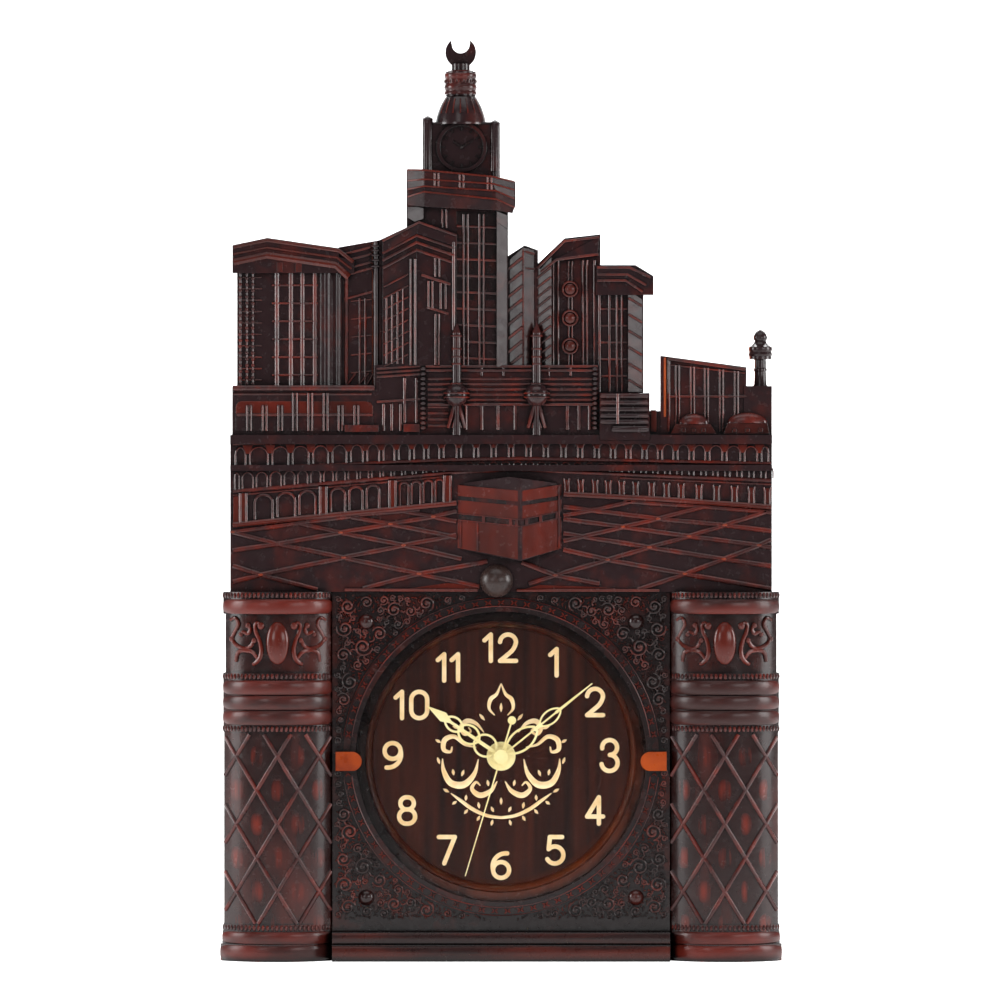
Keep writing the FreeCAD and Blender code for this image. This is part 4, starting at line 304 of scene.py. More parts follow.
# near-black brown for the shaft's windows, the little clock's face and the cube's bands
near_black = mouldings("dark", (7, 5, 5), (32, 24, 24), (62, 28, 23), 0.64, 70.0)
column = mouldings("column", (12, 6, 6), (34, 19, 18), (64, 27, 22), 0.6, 46.0, (1, 1, 0.3),
                   coat=0.2)
lay_wear_or_light(column, lattice_cells, (92, 31, 20))
rolled = mouldings("rolls", (14, 6, 6), (48, 25, 23), (86, 32, 25), 0.53, 30.0, (0.5, 1, 2.2),
                   (0.3, 0.42), 0.08)
sill_finish = mouldings("sill", (12, 6, 6), (36, 21, 20), (76, 30, 22), 0.55, 40.0,
                        (0.25, 1, 3.0), (0.24, 0.36))
corner_finish = mouldings("filigree", (6, 4, 4), (38, 26, 25), (92, 34, 24), 0.58, 60.0,
                          reach=0.0022)
frame_finish = mouldings("frame", (7, 5, 5), (32, 24, 24), (62, 28, 23), 0.64, 70.0)
# painted light: the frame's ring round the dial is lighter orange below and to the right, where
# light falls
lay_wear_or_light(frame_finish, painted_light_ring(0.064, 0.0715, 0.0018), (78, 36, 20))

FINISHES = {
    "mahogany_plastic": painted,
    "amber_plastic": surface("amber_moulded", (108, 38, 7), (150, 62, 13), (0.25, 0.4),
                             coat=0.1, bump=0.3, shine=0.22),
    "cover_plastic": surface("cover_moulded", (78, 48, 36), (96, 60, 44), (0.45, 0.62),
                             bump=0.5, depth=0.0004, fine=420.0),
    "dial_brown": surface("dial_print", (20, 12, 11), (60, 28, 18), (0.3, 0.42), 34.0,
                          (6.5, 1, 0.24), spread=0.22, shine=0.16),
    "gold_foil": surface("gold_foil", (232, 194, 136), (248, 220, 172), (0.28, 0.42), 120.0,
                         metallic=0.3, coat=0.1),
    "hand_brass": surface("hand_brass", (238, 220, 150), (250, 236, 176), (0.3, 0.38), 90.0,
                          metallic=0.45, bump=0.02, fine=260.0),
    "lens_clear": surface("lens_clear", (26, 29, 31), (34, 37, 39), (0.02, 0.04), bump=0.01,
                          alpha=0.02),
    "steel": surface("zinc_plate", (150, 152, 156), (184, 186, 190), (0.25, 0.42),
                     metallic=1.0),
    "black_plastic": surface("black_moulded", (20, 20, 22), (34, 34, 36), (0.4, 0.58),
                             bump=0.4),
    "grey_plastic": surface("grey_moulded", (116, 116, 119), (134, 134, 137), (0.42, 0.58),
                            bump=0.4),
    "smoked_button": surface("smoked_gloss", (42, 33, 31), (56, 44, 41), (0.24, 0.34),
                             shine=0.25),
    "gear_nylon": surface("gear_nylon", (222, 220, 208), (238, 236, 226), (0.4, 0.55)),
    "copper": surface("copper_wire", (176, 92, 48), (206, 118, 66), (0.3, 0.42),
                      metallic=0.8, stretch=(1, 12, 1)),
    "board_green": surface("board_mask", (18, 84, 44), (30, 108, 60), (0.3, 0.45), coat=0.3),
    "cell_wrap": surface("cell_sleeve", (60, 64, 82), (78, 84, 104), (0.3, 0.42), coat=0.4),
    "display_glass": surface("display_glass", (150, 160, 142), (164, 174, 154), (0.06, 0.12),
                             coat=0.6, bump=0.05),
    "paper_cone": surface("paper_cone", (32, 32, 32), (50, 50, 48), (0.7, 0.85), bump=0.8,
                          depth=0.0005, sheen=0.2),
    "wire_red": surface("wire_jacket", (140, 32, 26), (160, 44, 34), (0.4, 0.55)),
}
# painted light: the dial's border is lighter orange below and to the right, where light falls
lay_wear_or_light(FINISHES["dial_brown"], painted_light_ring(0.0645, 0.08, 0.003), (88, 39, 16))


# ------------------------------------------------------------------ forms
def between(start, end, count):
    """Evenly spread numbers from start to end."""
    return [start + (end - start) * k / (count - 1) for k in range(count)]


def bend(steps, span=pi):
    """Cosine and sine at even steps from nought to span."""
    return [(cos(angle), sin(angle)) for angle in between(0, span, steps + 1)]


def arc(x, z, radius, depth, degrees):
    """Path round (x, z) that faces the front."""
    return [(x + radius * cos(angle), depth, z + radius * sin(angle))
            for angle in map(radians, degrees)]


def pairs(columns, gap):
    return [x + side for x in columns for side in (-gap, gap)]


def rectangle(left, right, top, foot):
    return [(left, top), (right, top), (right, foot), (left, foot)]


def level(run, gx):
    """Height of a run of drawing points, which goes to the right, at a place across."""
    for (x0, y0), (x1, y1) in zip(run, run[1:]):
        if x0 <= gx <= x1:
            return y0 + (y1 - y0) * (gx - x0) / (x1 - x0)
    return run[0][1] if gx < run[0][0] else run[-1][1]


def round_edges(piece, width, angle=35.0):
    bevel = piece.modifiers.new("edges", "BEVEL")
    bevel.width = width * MM
    bevel.segments = 2
    bevel.limit_method = "ANGLE"
    bevel.angle_limit = radians(angle)
    bevel.harden_normals = True


class Relief:
    """Closed forms gathered into one mesh, which is finished when its with block ends. Lengths
    are in mm, and a depth is a place along y, or a function of the place across the drawing."""

    def __init__(self, name, finish, bevel=0.0, depth=0.0, sharp=35.0, slot="mahogany_plastic"):
        self.name, self.finish, self.slot = name, finish, slot
        self.bevel, self.depth, self.sharp = bevel, depth, sharp
        self.mesh = bmesh.new()

    def __enter__(self):
        return self

    def __exit__(self, failed, *rest):
        if not failed:
            self.done()

    def loft(self, rings):
        """Skin through rings of points, each closed on itself, with both ends filled."""
        rows = [[self.mesh.verts.new(Vector(point) * MM) for point in ring] for ring in rings]
        size = len(rows[0])
        for near, far in zip(rows, rows[1:]):
            for index in range(size):
                after = (index + 1) % size
                self.mesh.faces.new((near[index], near[after], far[after], far[index]))
        self.mesh.faces.new(rows[0][::-1])
        self.mesh.faces.new(rows[-1])

    def facet(self, outline, back):
        """Prism from drawing points (gx, gy, depth) to one depth behind them."""
        front = [(across(gx), y, height(gy)) for gx, gy, y in outline]
        self.loft([front, [(x, back, z) for x, _, z in front]])

    def walls(self, columns, *backs):
        """Facets between neighbouring columns, each given as (gx, top, foot, depth)."""
        for (x0, top0, foot0, y0), (x1, top1, foot1, y1), back in zip(columns, columns[1:], backs):
            self.facet([(x0, top0, y0), (x1, top1, y1), (x1, foot1, y1), (x0, foot0, y0)], back)

    def flat(self, outline, front, back):
        """Prism from an outline of drawing points."""
        self.facet([(gx, gy, front) for gx, gy in outline], back)

    def sweep(self, path, section):
        """Section of (across, out) along a path of (x, y, z), scaled by a path's 4th value."""
        rings = []
        for index, point in enumerate(path):
            here = Vector(point[:3])
            before = Vector(path[max(index - 1, 0)][:3])
            after = Vector(path[min(index + 1, len(path) - 1)][:3])
            along = (after - before).normalized()
            out = Vector((0, -1, 0))
            out = (out - along * out.dot(along)).normalized()
            aside = along.cross(out)
            size = point[3] if len(point) > 3 else 1.0
            rings.append([here + aside * u * size + out * v * size for u, v in section])
        self.loft(rings)

    def ridge(self, run, wide, high, depth=None, top=0.3):
        """Bar along drawing points with its long edges cut at 42 degrees."""
        depth = self.depth if depth is None else depth
        path = [(across(gx), depth(gx) if callable(depth) else depth, height(gy))
                for gx, gy in run]
        half, flat = wide / 2, wide * top / 2
        slope, sunk = 0.9 * (half - flat), -0.3
        wall = max(high - slope, 0.06)
        high = max(high, wall + slope)
        self.sweep(path, [(-half, sunk), (-half, wall), (-flat, high), (flat, high),
                          (half, wall), (half, sunk)])

    def uprights(self, columns, top, foot, wide, high):
        for x in columns:
            self.ridge([(x, top), (x, foot)], wide, high)

    def bars(self, rows, left, right, wide, high, drop=0.0):
        """Ridges across the drawing, whose right ends lie lower by drop."""
        for y in rows:
            self.ridge([(left, y), (right, y + drop)], wide, high)

    def steps(self, rows, near, far, section):
        """Slanted bars between two ends, each given as (gx, drop, depth)."""
        for y in rows:
            self.sweep([(across(gx), depth, height(y + drop)) for gx, drop, depth in (near, far)],
                       section)

    def tube(self, path, radius, sides=8):
        self.sweep(path, [(radius * u, radius * v) for u, v in bend(sides, FULL)[:-1]])

    def ball(self, centre, radii, sides, rows=6):
        """Ellipsoid with its poles up and down."""
        (x, y, z), (wide, deep, tall) = centre, radii
        self.loft([[(x + wide * sine * u, y + deep * sine * v, z - tall * cosine)
                    for u, v in bend(sides, FULL)[:-1]] for cosine, sine in bend(rows)[1:-1]])

    def beads(self, points, depth, radii, sides):
        """Balls at drawing points."""
        for gx, gy in points:
            self.ball((across(gx), depth, height(gy)), radii, sides)

    def turned(self, x, y, profile, sides):
        """Revolved form about an upright axis, from a profile of (radius, z)."""
        self.loft([[(x + radius * u, y + radius * v, z) for u, v in bend(sides, FULL)[:-1]]
                   for radius, z in profile])

    def rounded(self, left, right, top, foot, depth, swell):
        """Upright half-round face between two places across the drawing."""
        x0, x1 = across(left), across(right)
        section = [(x, depth - swell * sine) for x, (_, sine) in zip(between(x0, x1, 9), bend(8))]
        section += [(x1, depth + 1), (x0, depth + 1)]
        self.loft([[(x, y, height(gy)) for x, y in section] for gy in (foot, top)])

    def done(self):
        mesh = bpy.data.meshes.new(self.name)
        bmesh.ops.recalc_face_normals(self.mesh, faces=self.mesh.faces)
        self.mesh.to_mesh(mesh)
        self.mesh.free()
        self.piece = bpy.data.objects.new(self.name, mesh)
        bpy.context.scene.collection.objects.link(self.piece)
        mesh.materials.append(self.finish)
        mesh.polygons.foreach_set("use_smooth", [True] * len(mesh.polygons))
        mesh.set_sharp_from_angle(angle=radians(self.sharp))
        if self.bevel:
            round_edges(self.piece, self.bevel)
        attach(self.piece, "case")


# ------------------------------------------------------------------ skyline
# Ridges: columns or rows, then their two ends, width and height.
def west_tower():
    with Relief("west_tower_ribs", ridged, 0.1, -5.9) as faces:
        faces.uprights((277, 291, 302.5, 315), 272, 386, 2.2, 1.0)
        faces.bars(between(285, 375, 6), 272, 318, 1.2, 0.8)
        for x in (240.5, 247, 253):
            faces.uprights((x,), 268, 387, 1.0, 0.8)
            faces.beads([(x, y) for y in between(272, 384, 19)], -6.4, (1.1, 0.9, 1.0), 8)
        faces.bars(between(277, 380, 10), 238, 262, 0.9, 0.6)
        for x in (280, 299):
            faces.flat(rectangle(x - 3, x + 3, 262, 272), -8.2, -5)
    with Relief("west_tower_flank", painted) as flank:
        flank.rounded(319, 334, 268, 387, -5.6, 1.8)
        flank.rounded(335, 341.5, 268, 387, -5.6, 1.2)
    with Relief("west_tower_cornice", rubbed, 0.15, -7.8) as brow:
        brow.ridge([(233.5, 247), (267.6, 240), (339, 250.5), (353.5, 262)], 2.0, 1.0)
        brow.ridge([(233.5, 262), (267, 255), (336, 265), (349, 277)], 3.6, 1.4)
        brow.ridge([(233.5, 254), (267, 247.5), (337, 257.5), (352, 269)], 1.4, 0.7)


def west_block():
    with Relief("west_ledge", ridged, 0.15, -9.8) as ledge:
        ledge.bars((388,), 233, 375, 2.6, 2.0)
        ledge.bars((394,), 233, 372, 1.6, 0.6)
    with Relief("west_panel", rubbed, 0.4) as panel:
        panel.flat([(236, 414.5), (236, 406), (238, 402.5), (242, 401), (366, 401), (371, 402.5),
                    (373.5, 406), (373.5, 414.5)], -10.3, -9)
    with Relief("west_wall", painted, 0.2) as wall:
        wall.flat(rectangle(236, 373.5, 415, 431), -10.25, -9)
    with Relief("west_panel_ribs", ridged, 0.1, -10.3) as ribs:
        for columns, top in (((249.4, 265, 280.6), 405.5), ((295.3, 310.6, 326), 393),
                             ((341, 356.7), 405.5)):
            ribs.uprights(pairs(columns, 1.8), top, 431, 1.1, 0.9)
        ribs.bars((415,), 237, 373, 1.4, 0.7)
        ribs.flat(rectangle(345, 379, 425, 432), -11.4, -9)
        ribs.flat(rectangle(404, 420, 424, 432), -11.4, -9)


def second_tower():
    with Relief("second_tower_ribs", ridged, 0.1, -4.9) as ribs:
        ribs.bars((254, 261, 269, 275, 299), 344, 373, 1.3, 0.8, -7.5)
        ribs.uprights((360, 365.5), 298, 386, 1.2, 0.9)
        ribs.bars(between(301, 373, 5), 351, 372, 0.9, 0.6, -2)
        ribs.uprights((346.5,), 262, 387, 1.8, 1.1)
        for low, high in ((346, 356), (357, 369), (366, 374)):
            ribs.ridge([(low, 387), (high, 373)], 1.3, 0.9)
    with Relief("second_tower_corner", painted) as corner:
        corner.rounded(372, 382, 241, 387, -4.7, 2.6)
        for y in (246, 250, 255, 260, 266):
            corner.tube([(across(377) + out, depth, height(y)) for out, depth in
                         ((-2.9, -5.6), (-1.6, -7.2), (0, -7.7), (1.6, -7.2), (2.9, -5.6))], 0.55)


def third_depth(gx):
    """Depth of the third tower's two faces, which meet at its corner."""
    return level(((383, -9.7), (417, -10.9), (457, -10.3)), gx)


def third_tower():
    with Relief("third_tower_walls", painted, 0.12) as walls:
        walls.walls(((383, 250, 366, -9.7), (417, 228, 366, -10.9), (457, 240, 366, -10.3)),
                    -7, -9)
    with Relief("third_tower_cornice", painted, 0.15) as brow:
        brow.facet([(383, 240.5, -10.5), (419.5, 221.8, -11.9), (417.5, 233.5, -11.9),
                    (383, 252.5, -10.5)], -7)
        brow.facet([(419.5, 221.8, -11.9), (457.3, 235, -11.2), (457.3, 247, -11.2),
                    (417.5, 233.5, -11.9)], -9)
    with Relief("third_tower_ribs", ridged, 0.1, third_depth) as ribs:
        ribs.ridge([(383, 241), (419.5, 222.4), (457, 235.6)], 1.3, 0.9,
                   lambda gx: third_depth(gx) - 0.8)
        for drop, high in ((13, 1.1), (20, 1.2), (27.5, 0.9)):
            ribs.ridge([(383, 240.5 + drop), (417, 222.5 + drop), (455, 235.5 + drop)], 1.6, high)
        ribs.bars((268,), 384, 414, 1.2, 0.8, -16)
        for x in (387, 392.5, 398, 403.5):
            ribs.uprights((x,), 298 - (x - 387) * 0.6, 364, 1.1, 0.8)
        ribs.bars(between(287, 367, 8), 384, 409, 1.0, 0.7, -13)
        ribs.uprights((411.3, 415.5), 259, 365, 1.2, 1.2)
        ribs.bars((275,), 422, 451, 1.5, 1.0, 9.5)
        ribs.uprights((428.8, 432.7), 281, 309, 1.1, 0.9)
        ribs.uprights((441, 446), 283, 309, 1.1, 0.9)
        ribs.bars((307,), 427, 449, 1.3, 0.8, 7)
        ribs.uprights((435.8, 439.2), 314, 365, 1.1, 1.0)
        ribs.uprights((435.5, 439.5), 258, 277, 1.1, 0.9)
        ribs.uprights((454,), 242, 330, 1.5, 1.2)


def clock_shaft():
    with Relief("clock_shaft_ribs", ridged, 0.1, -9.4) as ribs:
        ribs.uprights(pairs((466, 482), 2.2), 214, 366, 1.1, 1.2)
        ribs.uprights((442.5, 446.5), 209, 228, 1.1, 1.0)
        ribs.bars(between(226, 358, 9), 457, 497, 1.3, 0.9, 1.5)
    with Relief("clock_shaft_windows", near_black, 0.1) as backs:
        backs.flat([(457, 211), (497, 213), (497, 300), (457, 300)], -9.7, -9)
    with Relief("clock_shaft_flank", painted, 0.2) as flank:
        flank.walls(((497, 214, 367, -11.8), (507.6, 218, 367, -9.7)), -9)


# runs of (gx, gy, depth) round the collar, from its top edge down
COLLAR = (
    ((407.8, 170, -11.8), (424.5, 170.5, -13.9), (493, 177, -13.9), (514.8, 182, -11.8)),
    ((408, 181, -11.8), (424.5, 179.5, -13.9), (493, 184, -13.9), (514.8, 190, -11.8)),
    ((408, 189.5, -11.8), (424.5, 186.5, -13.9), (496, 191, -13.9), (514.8, 199, -11.8)),
    ((408, 197, -12.1), (424.5, 192, -14.3), (497, 199.5, -14.3), (514.8, 207.5, -12.1)),
    ((408, 205.5, -11.9), (424.5, 207, -13.6), (496, 210.5, -13.6), (513, 213.5, -11.9)),
)


def clock_collar():
    with Relief("clock_collar_bands", painted, 0.18) as bands:
        for top, low in zip(COLLAR, COLLAR[1:]):
            for k in range(3):
                bands.facet([top[k], top[k + 1], low[k + 1], low[k]], -11)
    with Relief("clock_collar_ribs", rubbed, 0.1, -13.2) as ribs:
        for run in COLLAR[:4]:
            ribs.sweep([(across(gx), depth + 0.2, height(gy)) for gx, gy, depth in run],
                       [(-0.6, -0.3), (-0.4, 0.6), (0.4, 0.6), (0.6, -0.3)])
        for x in (437, 462, 490):
            low = level([point[:2] for point in COLLAR[2]], x)
            ribs.uprights(pairs((x,), 1.8), low - 14, low, 1.0, 1.1)
    with Relief("clock_collar_brackets", painted, 0.2) as brackets:
        brackets.facet([(408, 205, -9.8), (424, 208, -11.6), (424, 219, -11.6),
                        (415, 222, -10.6), (408, 218, -9.8)], -9)
        brackets.facet([(497, 211, -11.9), (507.5, 215, -10.2), (507.5, 229, -10.2),
                        (497, 222, -11.9)], -9)


def clock_house():
    depth, swell, back, foot = -7.4, 2.0, -6, height(171)
    with Relief("clock_house_posts", painted) as posts:
        for left, right, top in ((423.0, 433.0, 116.5), (490.4, 500.2, 120.5)):
            middle, half, crown = across((left + right) / 2), (right - left) / 4, height(top)
            rings = []
            for z, share in ((foot, 1), (crown - 3, 1), (crown - 1.6, 0.86), (crown - 0.5, 0.55),
                             (crown, 0.12)):
                wide = half * share
                rings.append([(middle - wide * cosine, depth - swell * share * sine, z)
                              for cosine, sine in bend(8)]
                             + [(middle + wide, back, z), (middle - wide, back, z)])
            posts.loft(rings)
    with Relief("clock_house_dial", near_black, 0.08, -7.9) as face:
        cx, cz = spot(462, 147)
        for radius, thick in ((12.4, 0.45), (10.9, 0.3)):
            face.tube(arc(cx, cz, radius, -8.2, range(0, 361, 8)), thick)
        marks = [(30 * hour, 8.3, 10.0, -8.3, 0.38) for hour in range(12)]
        hands = [(305, 0, 5.0, -8.5, 0.4), (58, 0, 7.0, -8.5, 0.4)]
        for degrees, start, end, depth, thick in marks + hands:
            sine, cosine = sin(radians(degrees)), cos(radians(degrees))
            face.tube([(cx + r * sine, depth, cz + r * cosine) for r in (start, end)], thick, 6)
        face.ball((cx, -8.4, cz), (0.9, 0.7, 0.9), 10)
        face.bars((123,), 433, 491, 1.2, 0.7)


DOME_X = across(460.8)
DOME_Y = -1


def finial():
    """Rings with small teeth below the crescent."""
    profile = ((6.0, 94.8), (7.6, 94.4), (8.2, 93.4), (8.2, 91.8), (7.8, 90.6), (7.8, 89.4),
               (8.1, 88.2), (8.3, 86.2), (8.0, 84.4), (7.78, 83.6), (7.78, 77.6), (8.1, 76.2),
               (8.2, 74.0), (7.9, 72.6), (6.2, 69.8), (5.0, 69.2))
    with Relief("finial_rings", ridged) as rings:
        rings.turned(DOME_X, DOME_Y, [(radius, height(gy)) for radius, gy in profile], 48)
        for cosine, sine in bend(30, FULL)[:-1]:
            centre = DOME_X + 7.8 * cosine, DOME_Y + 7.8 * sine, height(80.6)
            rings.ball(centre, (0.5, 0.5, 1.0), 8, 5)


def dome_ribs():
    """Fine upright ribs round the front of the bell-shaped dome, laid where rays meet it."""
    start_out, nearest, farthest, sunk = 0.03, 0.018, 0.028, 0.1
    with Relief("dome_ribs", ridged) as ribs:
        for lean in map(radians, between(-57, 57, 7)):
            out = Vector((sin(lean), -cos(lean), 0))
            path = []
            for gy in between(98.5, 121, 10):
                start = Vector((DOME_X, DOME_Y, height(gy))) * MM + out * start_out
                hit, place, _, _ = nodes["skyline_panel"].ray_cast(start, -out)
                if hit and nearest < (place - start).length < farthest:
                    path.append(place / MM - out * sunk)
            if len(path) > 2:
                ribs.tube(path, 0.42)


def minaret():
    """Balcony rings, knob and flared foot of the minaret on the east side."""
    profile = ((2.8, 391), (3.9, 390), (3.9, 386.5), (3.1, 384), (2.9, 371.5), (3.3, 370.5),
               (3.3, 368.5), (2.9, 367.5), (2.9, 360), (4.4, 357.5), (5.75, 356), (6.1, 354),
               (5.7, 351.6), (6.1, 349), (5.8, 346.6), (4.4, 345), (3.2, 342.6), (2.9, 340.6),
               (3.5, 338.6), (3.5, 336.6), (3.2, 334.4), (2.2, 331.6), (1.0, 329.8),
               (0.3, 329.2))
    with Relief("minaret_turnings", painted) as rings:
        rings.turned(across(761.5), 1, [(radius, height(gy)) for radius, gy in profile], 36)


def fifth_tower():
    with Relief("fifth_tower_faces", painted, 0.15) as faces:
        faces.walls(((506, 263, 366, -7.2), (523.5, 247.5, 366, -9.6), (534.5, 250, 366, -7.3)),
                    -6.5, -6.5)
    with Relief("fifth_tower_steps", ridged, 0.1, -8.4) as steps:
        steps.steps(between(265, 362, 8), (506.5, 6, -7.2), (523, -7, -9.5),
                    [(-1.1, -0.4), (-0.6, 1.0), (0.5, 0.8), (0.9, -0.4)])
        steps.steps((0,), (523.5, 249, -9.5), (523.5, 366, -9.5),
                    [(-0.6, -0.3), (-0.3, 0.6), (0.3, 0.6), (0.6, -0.3)])
        steps.bars((251,), 524, 535, 1.3, 1.0, 3)
        steps.bars((268,), 524, 535, 1.0, 0.8, 1)


def sixth_tower():
    with Relief("sixth_tower_faces", painted, 0.15) as faces:
        faces.walls(((537, 270, 366, -6.3), (552, 257, 366, -8.4)), -5.5)
        faces.facet([(537.5, 267.5, -6.8), (565, 240, -8.6), (600, 236, -8.6), (598, 254, -8.6),
                     (556, 260, -8.6)], -5.5)
    with Relief("sixth_tower_ribs", ridged, 0.1, -5.9) as ribs:
        ribs.steps(between(272, 360, 10), (537.5, 6, -6.3), (551.5, -5, -8.3),
                   [(-0.8, -0.4), (-0.4, 0.8), (0.4, 0.7), (0.8, -0.4)])
        ribs.uprights((553.5, 558.5, 583.5, 587.5, 595), 260, 366, 1.2, 1.3)
        ribs.uprights((569, 572.5), 261, 366, 0.9, 1.0)
        ribs.ridge([(538, 268), (565, 241), (600, 237)], 1.3, 1.0, -8.2)
        ribs.ridge([(541, 272), (557, 259.5), (599, 254)], 1.4, 0.9, -8.2)
    with Relief("sixth_tower_bosses", rubbed) as bosses:
        for gy in (289, 318, 346):
            x, z = spot(570.5, gy)
            bosses.tube(arc(x, z, 3.7, -7.2, range(0, 361, 20)), 0.6)
            bosses.ball((x, -6.6, z), (3.1, 1.5, 3.1), 18, 10)


def seventh_tower():
    with Relief("seventh_tower_faces", painted, 0.15) as faces:
        faces.walls(((628.5, 290, 392, -9.2), (642.6, 299, 392, -7.3)), -6.5)
        faces.facet([(597.5, 267, -10.2), (630, 267, -10.2), (628, 279, -9.9),
                     (597.5, 279, -9.9)], -9)
        faces.facet([(630, 267, -10.2), (652.5, 277.5, -9.6), (643, 294, -9.6),
                     (628, 279, -9.9)], -9)
    with Relief("seventh_tower_ribs", ridged, 0.1, -6.9) as ribs:
        ribs.steps(between(302, 384, 6), (629, -4, -9.1), (642.3, 4, -7.3),
                   [(-0.9, -0.4), (-0.5, 0.8), (0.4, 0.7), (0.9, -0.4)])
        ribs.uprights((600, 610, 617.5, 622.5), 284, 392, 1.3, 1.1)
        ribs.bars(between(292, 376, 6), 598, 628, 1.2, 0.9)
        for drop in (0, 7, 13):
            ribs.ridge([(597.5, 267.5 + drop), (630 - drop * 0.3, 267.5 + drop),
                        (651 - drop * 0.6, 277.5 + drop * 1.1)], 1.4, 0.9, -9.8)


def drum():
    rows = [(600.5, gy, 1.45) for gy in (396, 402.7, 409.4, 415.8, 421.8)] + [(612, 429, 1.9)]
    depth, swell = -12.2, 1.5
    with Relief("drum_bands", painted) as bands:
        for left, gy, half in rows:
            x0, x1, z = across(left), across(649), height(gy)
            bands.loft([[(x, depth - swell * share * sine, z + half * share * cosine)
                         for cosine, sine in bend(8)]
                        for x, share in ((x0, 0.7), (x0 + 0.8, 1), (x1 - 0.8, 1), (x1, 0.7))])
    with Relief("drum_seam", rubbed, 0.1, -13.0) as seam:
        seam.uprights((618,), 394, 424, 1.4, 0.9)
        seam.flat(rectangle(651, 657, 410, 432), -8.2, -6.5)


def east_block():
    with Relief("east_block_ribs", ridged, 0.1, -7.4) as ribs:
        for x in (678, 693, 707, 722, 737):
            ribs.uprights(pairs((x,), 1.6), 365 + (x - 678) * 0.1, 432, 1.0, 0.9)
        ribs.bars((358.5,), 668, 746, 1.6, 1.4, 11)
        ribs.bars((364.5,), 668, 746, 1.0, 0.7, 8.5)
        ribs.bars((396.5,), 668, 747, 1.4, 0.8)
        ribs.uprights((669.5,), 358, 432, 1.4, 0.9)
    with Relief("east_block_side", FINISHES["amber_plastic"], 0.1, slot="amber_plastic") as side:
        side.walls(((661.6, 358.2, 417, -7.0), (666.6, 357.4, 417, -7.9)), -6.6)
    depth, swell, rise, smallest = -8, 3.2, 5.25, 0.06
    with Relief("east_block_domes", ridged) as domes:
        for gx, half, foot in ((694, 7.75, 424), (748, 10, 423)):
            x, z = spot(gx, foot)
            rings = []
            for wide, up in bend(6, pi / 2):
                wide = max(wide, smallest)
                rings.append([(x + half * wide * cosine, depth - swell * wide * sine, z + rise * up)
                              for cosine, sine in bend(10)])
            domes.loft(rings)
    with Relief("east_block_feet", column, 0.2) as feet:
        feet.flat([(676, 424), (711, 424), (717, 434), (671, 434)], -10.8, -7)
        feet.flat([(728, 423), (768, 423), (770, 434), (724, 434)], -10.8, -7)
        for x in (684, 694, 704, 735, 748, 761):
            feet.flat(rectangle(x - 2, x + 2, 428.5, 432.5), -11.3, -10)


def middle_row():
    with Relief("middle_row_bars", ridged, 0.1, -9.9) as ribs:
        ribs.bars((366.5, 370.5), 426, 598, 1.4, 1.2)
        ribs.bars(between(379, 400, 5), 428, 594, 1.5, 0.9)
        ribs.bars((404.5,), 428, 596, 1.4, 1.3)
        ribs.bars(between(407, 426, 4), 428, 449, 1.5, 0.9)
        ribs.uprights((466, 482, 498.4, 515.7, 567.8, 579.5, 590), 405, 430, 1.7, 1.0)
        ribs.uprights((482, 504, 549, 571), 366, 376, 1.2, 0.9)
        ribs.bars((369, 373, 377, 402), 377, 421, 1.3, 0.9, -3)
        ribs.uprights((384, 392, 401), 404, 431, 1.5, 1.0)
        ribs.uprights((405, 417), 378, 423, 1.5, 1.0)
    with Relief("middle_row_beads", painted) as studs:
        studs.beads([(gx, y) for gx in (423.5, 595.5) for y in between(369, 428, 13)], -10.4,
                    (1.9, 1.6, 1.15), 10)
    with Relief("globe_stands", ridged) as stands:
        for gx in (457, 537):
            x, z = spot(gx, 405)
            for side in (-1, 1):
                for radius, path in (
                        (0.85, ((1.2, -11.6, 0, 1), (2.4, -12.2, 5, 1.2), (4.2, -11.6, 11.5, 1))),
                        (0.6, ((2.6, -11.4, 2.5, 1), (0.8, -11.8, 7, 1), (2.2, -11.4, 11.5, 1)))):
                    stands.tube([(x + side * out, depth, z - drop, size)
                                 for out, depth, drop, size in path], radius)
            for gy in (393.4, 397.4):
                stands.tube([(x - 6.25 * cosine, -10.5 - 6.25 * sine, height(gy))
                             for cosine, sine in bend(15)], 0.5)
            for gy, radius in ((336, 3.0), (349, 2.6), (357, 2.6), (364, 2.4), (384, 3.0)):
                profile = ((-1.2, -0.8), (0, -0.5), (0.2, 0), (0, 0.5), (-1.2, 0.8))
                stands.turned(x, -10.5, [(radius + out, height(gy) + up) for out, up in profile],
                              20)


# ------------------------------------------------------------------ courtyard
COURT = -9.0
LAID = COURT + 0.1
LEFT_EDGE = 233.5
TIER_1_TOP = ((233, 444), (350, 441), (450, 437.5), (560, 437), (660, 440), (771.8, 443))
TIER_1_FOOT = ((233, 469), (350, 464.5), (450, 460), (520, 458.8), (620, 460.5), (771.8, 464))
TIER_2_FOOT = ((233, 491.5), (344, 482), (450, 472.5), (518, 469.5), (620, 474), (771.8, 480.5))
TIER_3_WEST = ((233, 525), (344, 514), (457, 503))
TIER_3_EAST = ((564, 494), (660, 499), (771.8, 507))
POSTS_1 = (248, 270.4, 290.8, 311.2, 330.6, 349, 365.3, 381.6, 396.9, 412.2, 426.5, 441.8, 459.2,
           476.5, 494, 511.4, 529, 546.3, 564, 580.6, 597.3, 613.5, 629, 645, 660.5, 676, 692,
           708, 725, 743, 760)
POSTS_2 = (241, 255, 269, 283, 296.5, 309.5, 322.5, 335, 347, 359, 370.5, 382, 393, 404, 414.5,
           425, 435.5, 446, 456.5)
ARCHES_3 = ((255, 273), (277.5, 295.5), (299.5, 316), (331, 345.5), (349.5, 363), (367, 379.5),
            (400, 409), (412, 421), (424, 433), (436, 444))
COLUMNS_3 = (243.5, 323.5, 393, 448)
